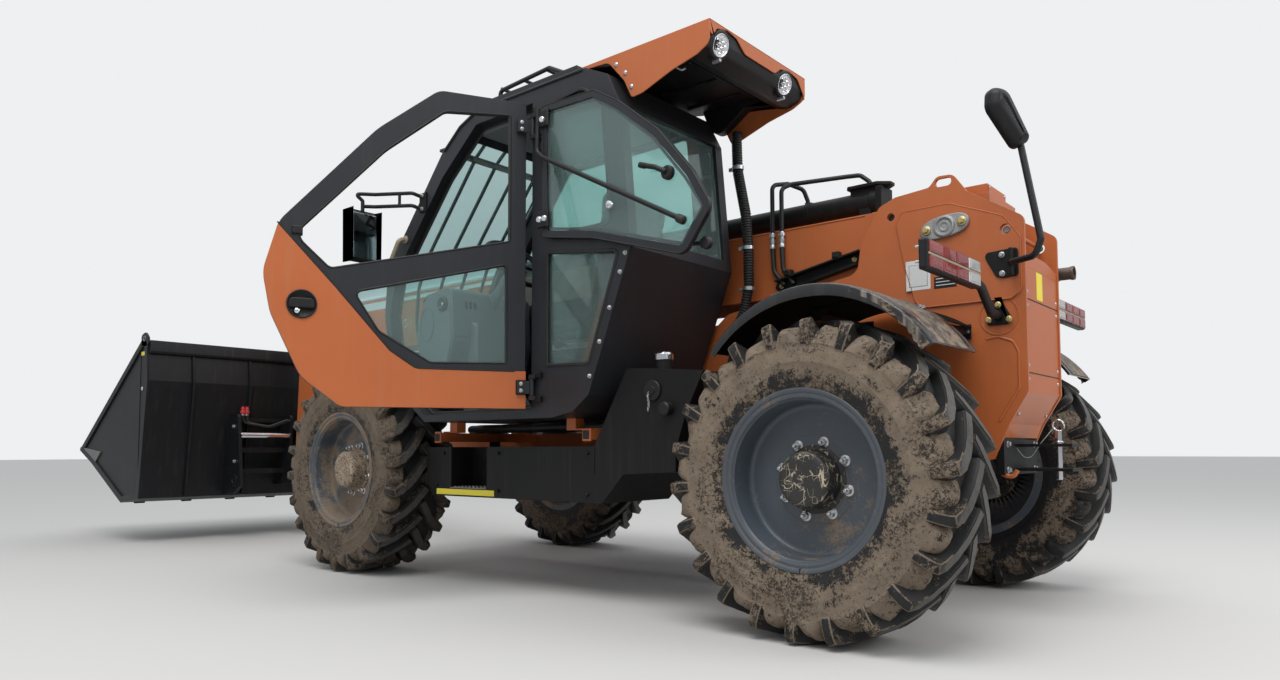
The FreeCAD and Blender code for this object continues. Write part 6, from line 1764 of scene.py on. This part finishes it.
# %% Axle and driveline details
SHAFT_Y, SHAFT_Z = -110, 540       # beside and below the foot of the lift cylinder
RAIL_TOP = 800
under = Piece("underside_details", "frame")
for x, way in ((0, 1), (3050, -1)):
    cover = ((0, 150), (16, 150), (20, 132), (44, 118), (62, 84), (70, 40), (70, 0))
    under.turned(cover, (x - way * 148, 0, 595), (-way, 0, 0), "axle_casting", 40)
    for k in range(10):
        angle = math.tau * k / 10
        under.bolt((x - way * 164, math.cos(angle) * 140, 595 + math.sin(angle) * 140), (-way, 0, 0), 9, ZINC,
            washer=False)
    under.turned(((-60, 92), (0, 74), (30, 62), (34, 76), (46, 76), (50, 0)), (x + way * 140, SHAFT_Y, SHAFT_Z),
        (way, 0, 0), "axle_casting", 32)
    under.rod((x - way * 130, -330, 640), (x - way * 130, 330, 640), 38, BLACK)
    for side in (1, -1):
        under.rod((x - way * 130, side * 330, 640), (x - way * 130, side * 452, 640), 18, CHROME)
        under.turned(((0, 0), (4, 16), (14, 27), (26, 32), (38, 27), (48, 16), (52, 0)),
            (x - way * 130, side * 434, 640), (0, side, 0), SEAL, 24)
        under.rod((x - way * 130, side * 470, 640), (x - way * 112, side * 548, 640), 14, "axle_casting")
        under.turned(((-26, 0), (-26, 20), (-12, 27), (12, 27), (26, 20), (26, 0)), (x - way * 110, side * 548, 640),
            Z, "axle_casting", 24)
        under.tube(((x - way * 110, side * 200, 672), (x - way * 90, side * 190, 730),
            (x + way * 60, side * 150, 760), (x + way * 220, side * 120, 770)), 9, 30, RUBBER, 12)
under.rod((186, SHAFT_Y, SHAFT_Z), (2864, SHAFT_Y, SHAFT_Z), 30, BLACK)
for x in (230, 1340, 1680, 2820):
    under.turned(((-40, 30), (-36, 46), (-10, 50), (10, 50), (36, 46), (40, 30)), (x, SHAFT_Y, SHAFT_Z), X, STEEL, 24)
under.block(1380, 1640, -175, 90, 470, 690, "engine_casting", 14)
for y in (-70, 0, 70):
    under.tube(((1640, y, 640), (1900, y, 660), (2400, y * 1.6, 720), (2720, y * 1.6, 730), (2940, y * 0.8, 640)), 9,
        80, RUBBER, 12)
# Hoses and a valve block on the outriggers, in the gap below the cab
for y, up in ((560, 24), (612, 28), (664, 24)):
    under.tube(((1100, 240, RAIL_TOP - 30), (1100, y, RAIL_TOP + up), (1560, y + 8, RAIL_TOP + up),
        (1980, y - 8, RAIL_TOP + up), (2400, y, RAIL_TOP + up), (2440, 240, RAIL_TOP - 30)), 22, 60, RUBBER, 12)
under.block(1640, 1850, 530, 676, RAIL_TOP + 2, RAIL_TOP + 50, "axle_casting", 6)
under.make()

# %% [markdown]
# ## Engine
# The block is one casting under the hood. Ribs, a manifold, an oil filter, a cover with its bolts and a belt drive
# make it read as an engine when the hood is up. All of it stays within 55 mm of the block, clear of the hood.

# %% Engine details
engine = Piece("engine_details", "frame")
for x in range(1350, 2200, 130):
    engine.block(x, x + 14, -890, -878, 800, 1090, "engine_casting", 3)
engine.block(1320, 2170, -888, -878, 1092, 1106, "engine_casting", 3)
engine.tube(((1380, -882, 1160), (1380, -908, 1160), (2120, -908, 1160), (2120, -882, 1160)), 20, 24, "exhaust_steel",
    16)
for x in (1500, 1660, 1820, 1980):
    engine.rod((x, -880, 1160), (x, -908, 1160), 17, "exhaust_steel")
    engine.block(x - 34, x + 34, -888, -878, 1134, 1186, "exhaust_steel", 3)
engine.turned(((0, 0), (0, 34), (6, 39), (96, 39), (104, 34), (110, 20), (110, 0)), (1745, -892, 990), -Z, BLACK, 32)
engine.block(1400, 2100, -760, -540, 1218, 1232, BLACK, 4)
for x in (1430, 1640, 1850, 2070):
    for y in (-745, -555):
        engine.bolt((x, y, 1231), Z, 7, ZINC, washer=False)
for y, z, radius in ((-650, 890, 88), (-560, 1090, 52), (-760, 1080, 44)):
    engine.turned(((0, 0), (0, radius), (6, radius), (10, radius - 8), (14, radius), (20, radius), (20, 0)),
        (1290, y, z), -X, "axle_casting", 40)
engine.tube(((1277, -738, 880), (1277, -804, 1080), (1277, -760, 1124), (1277, -560, 1142), (1277, -508, 1090),
    (1277, -562, 880), (1277, -650, 802), (1277, -738, 880)), 5, 50, SEAL, 10)
engine.make()
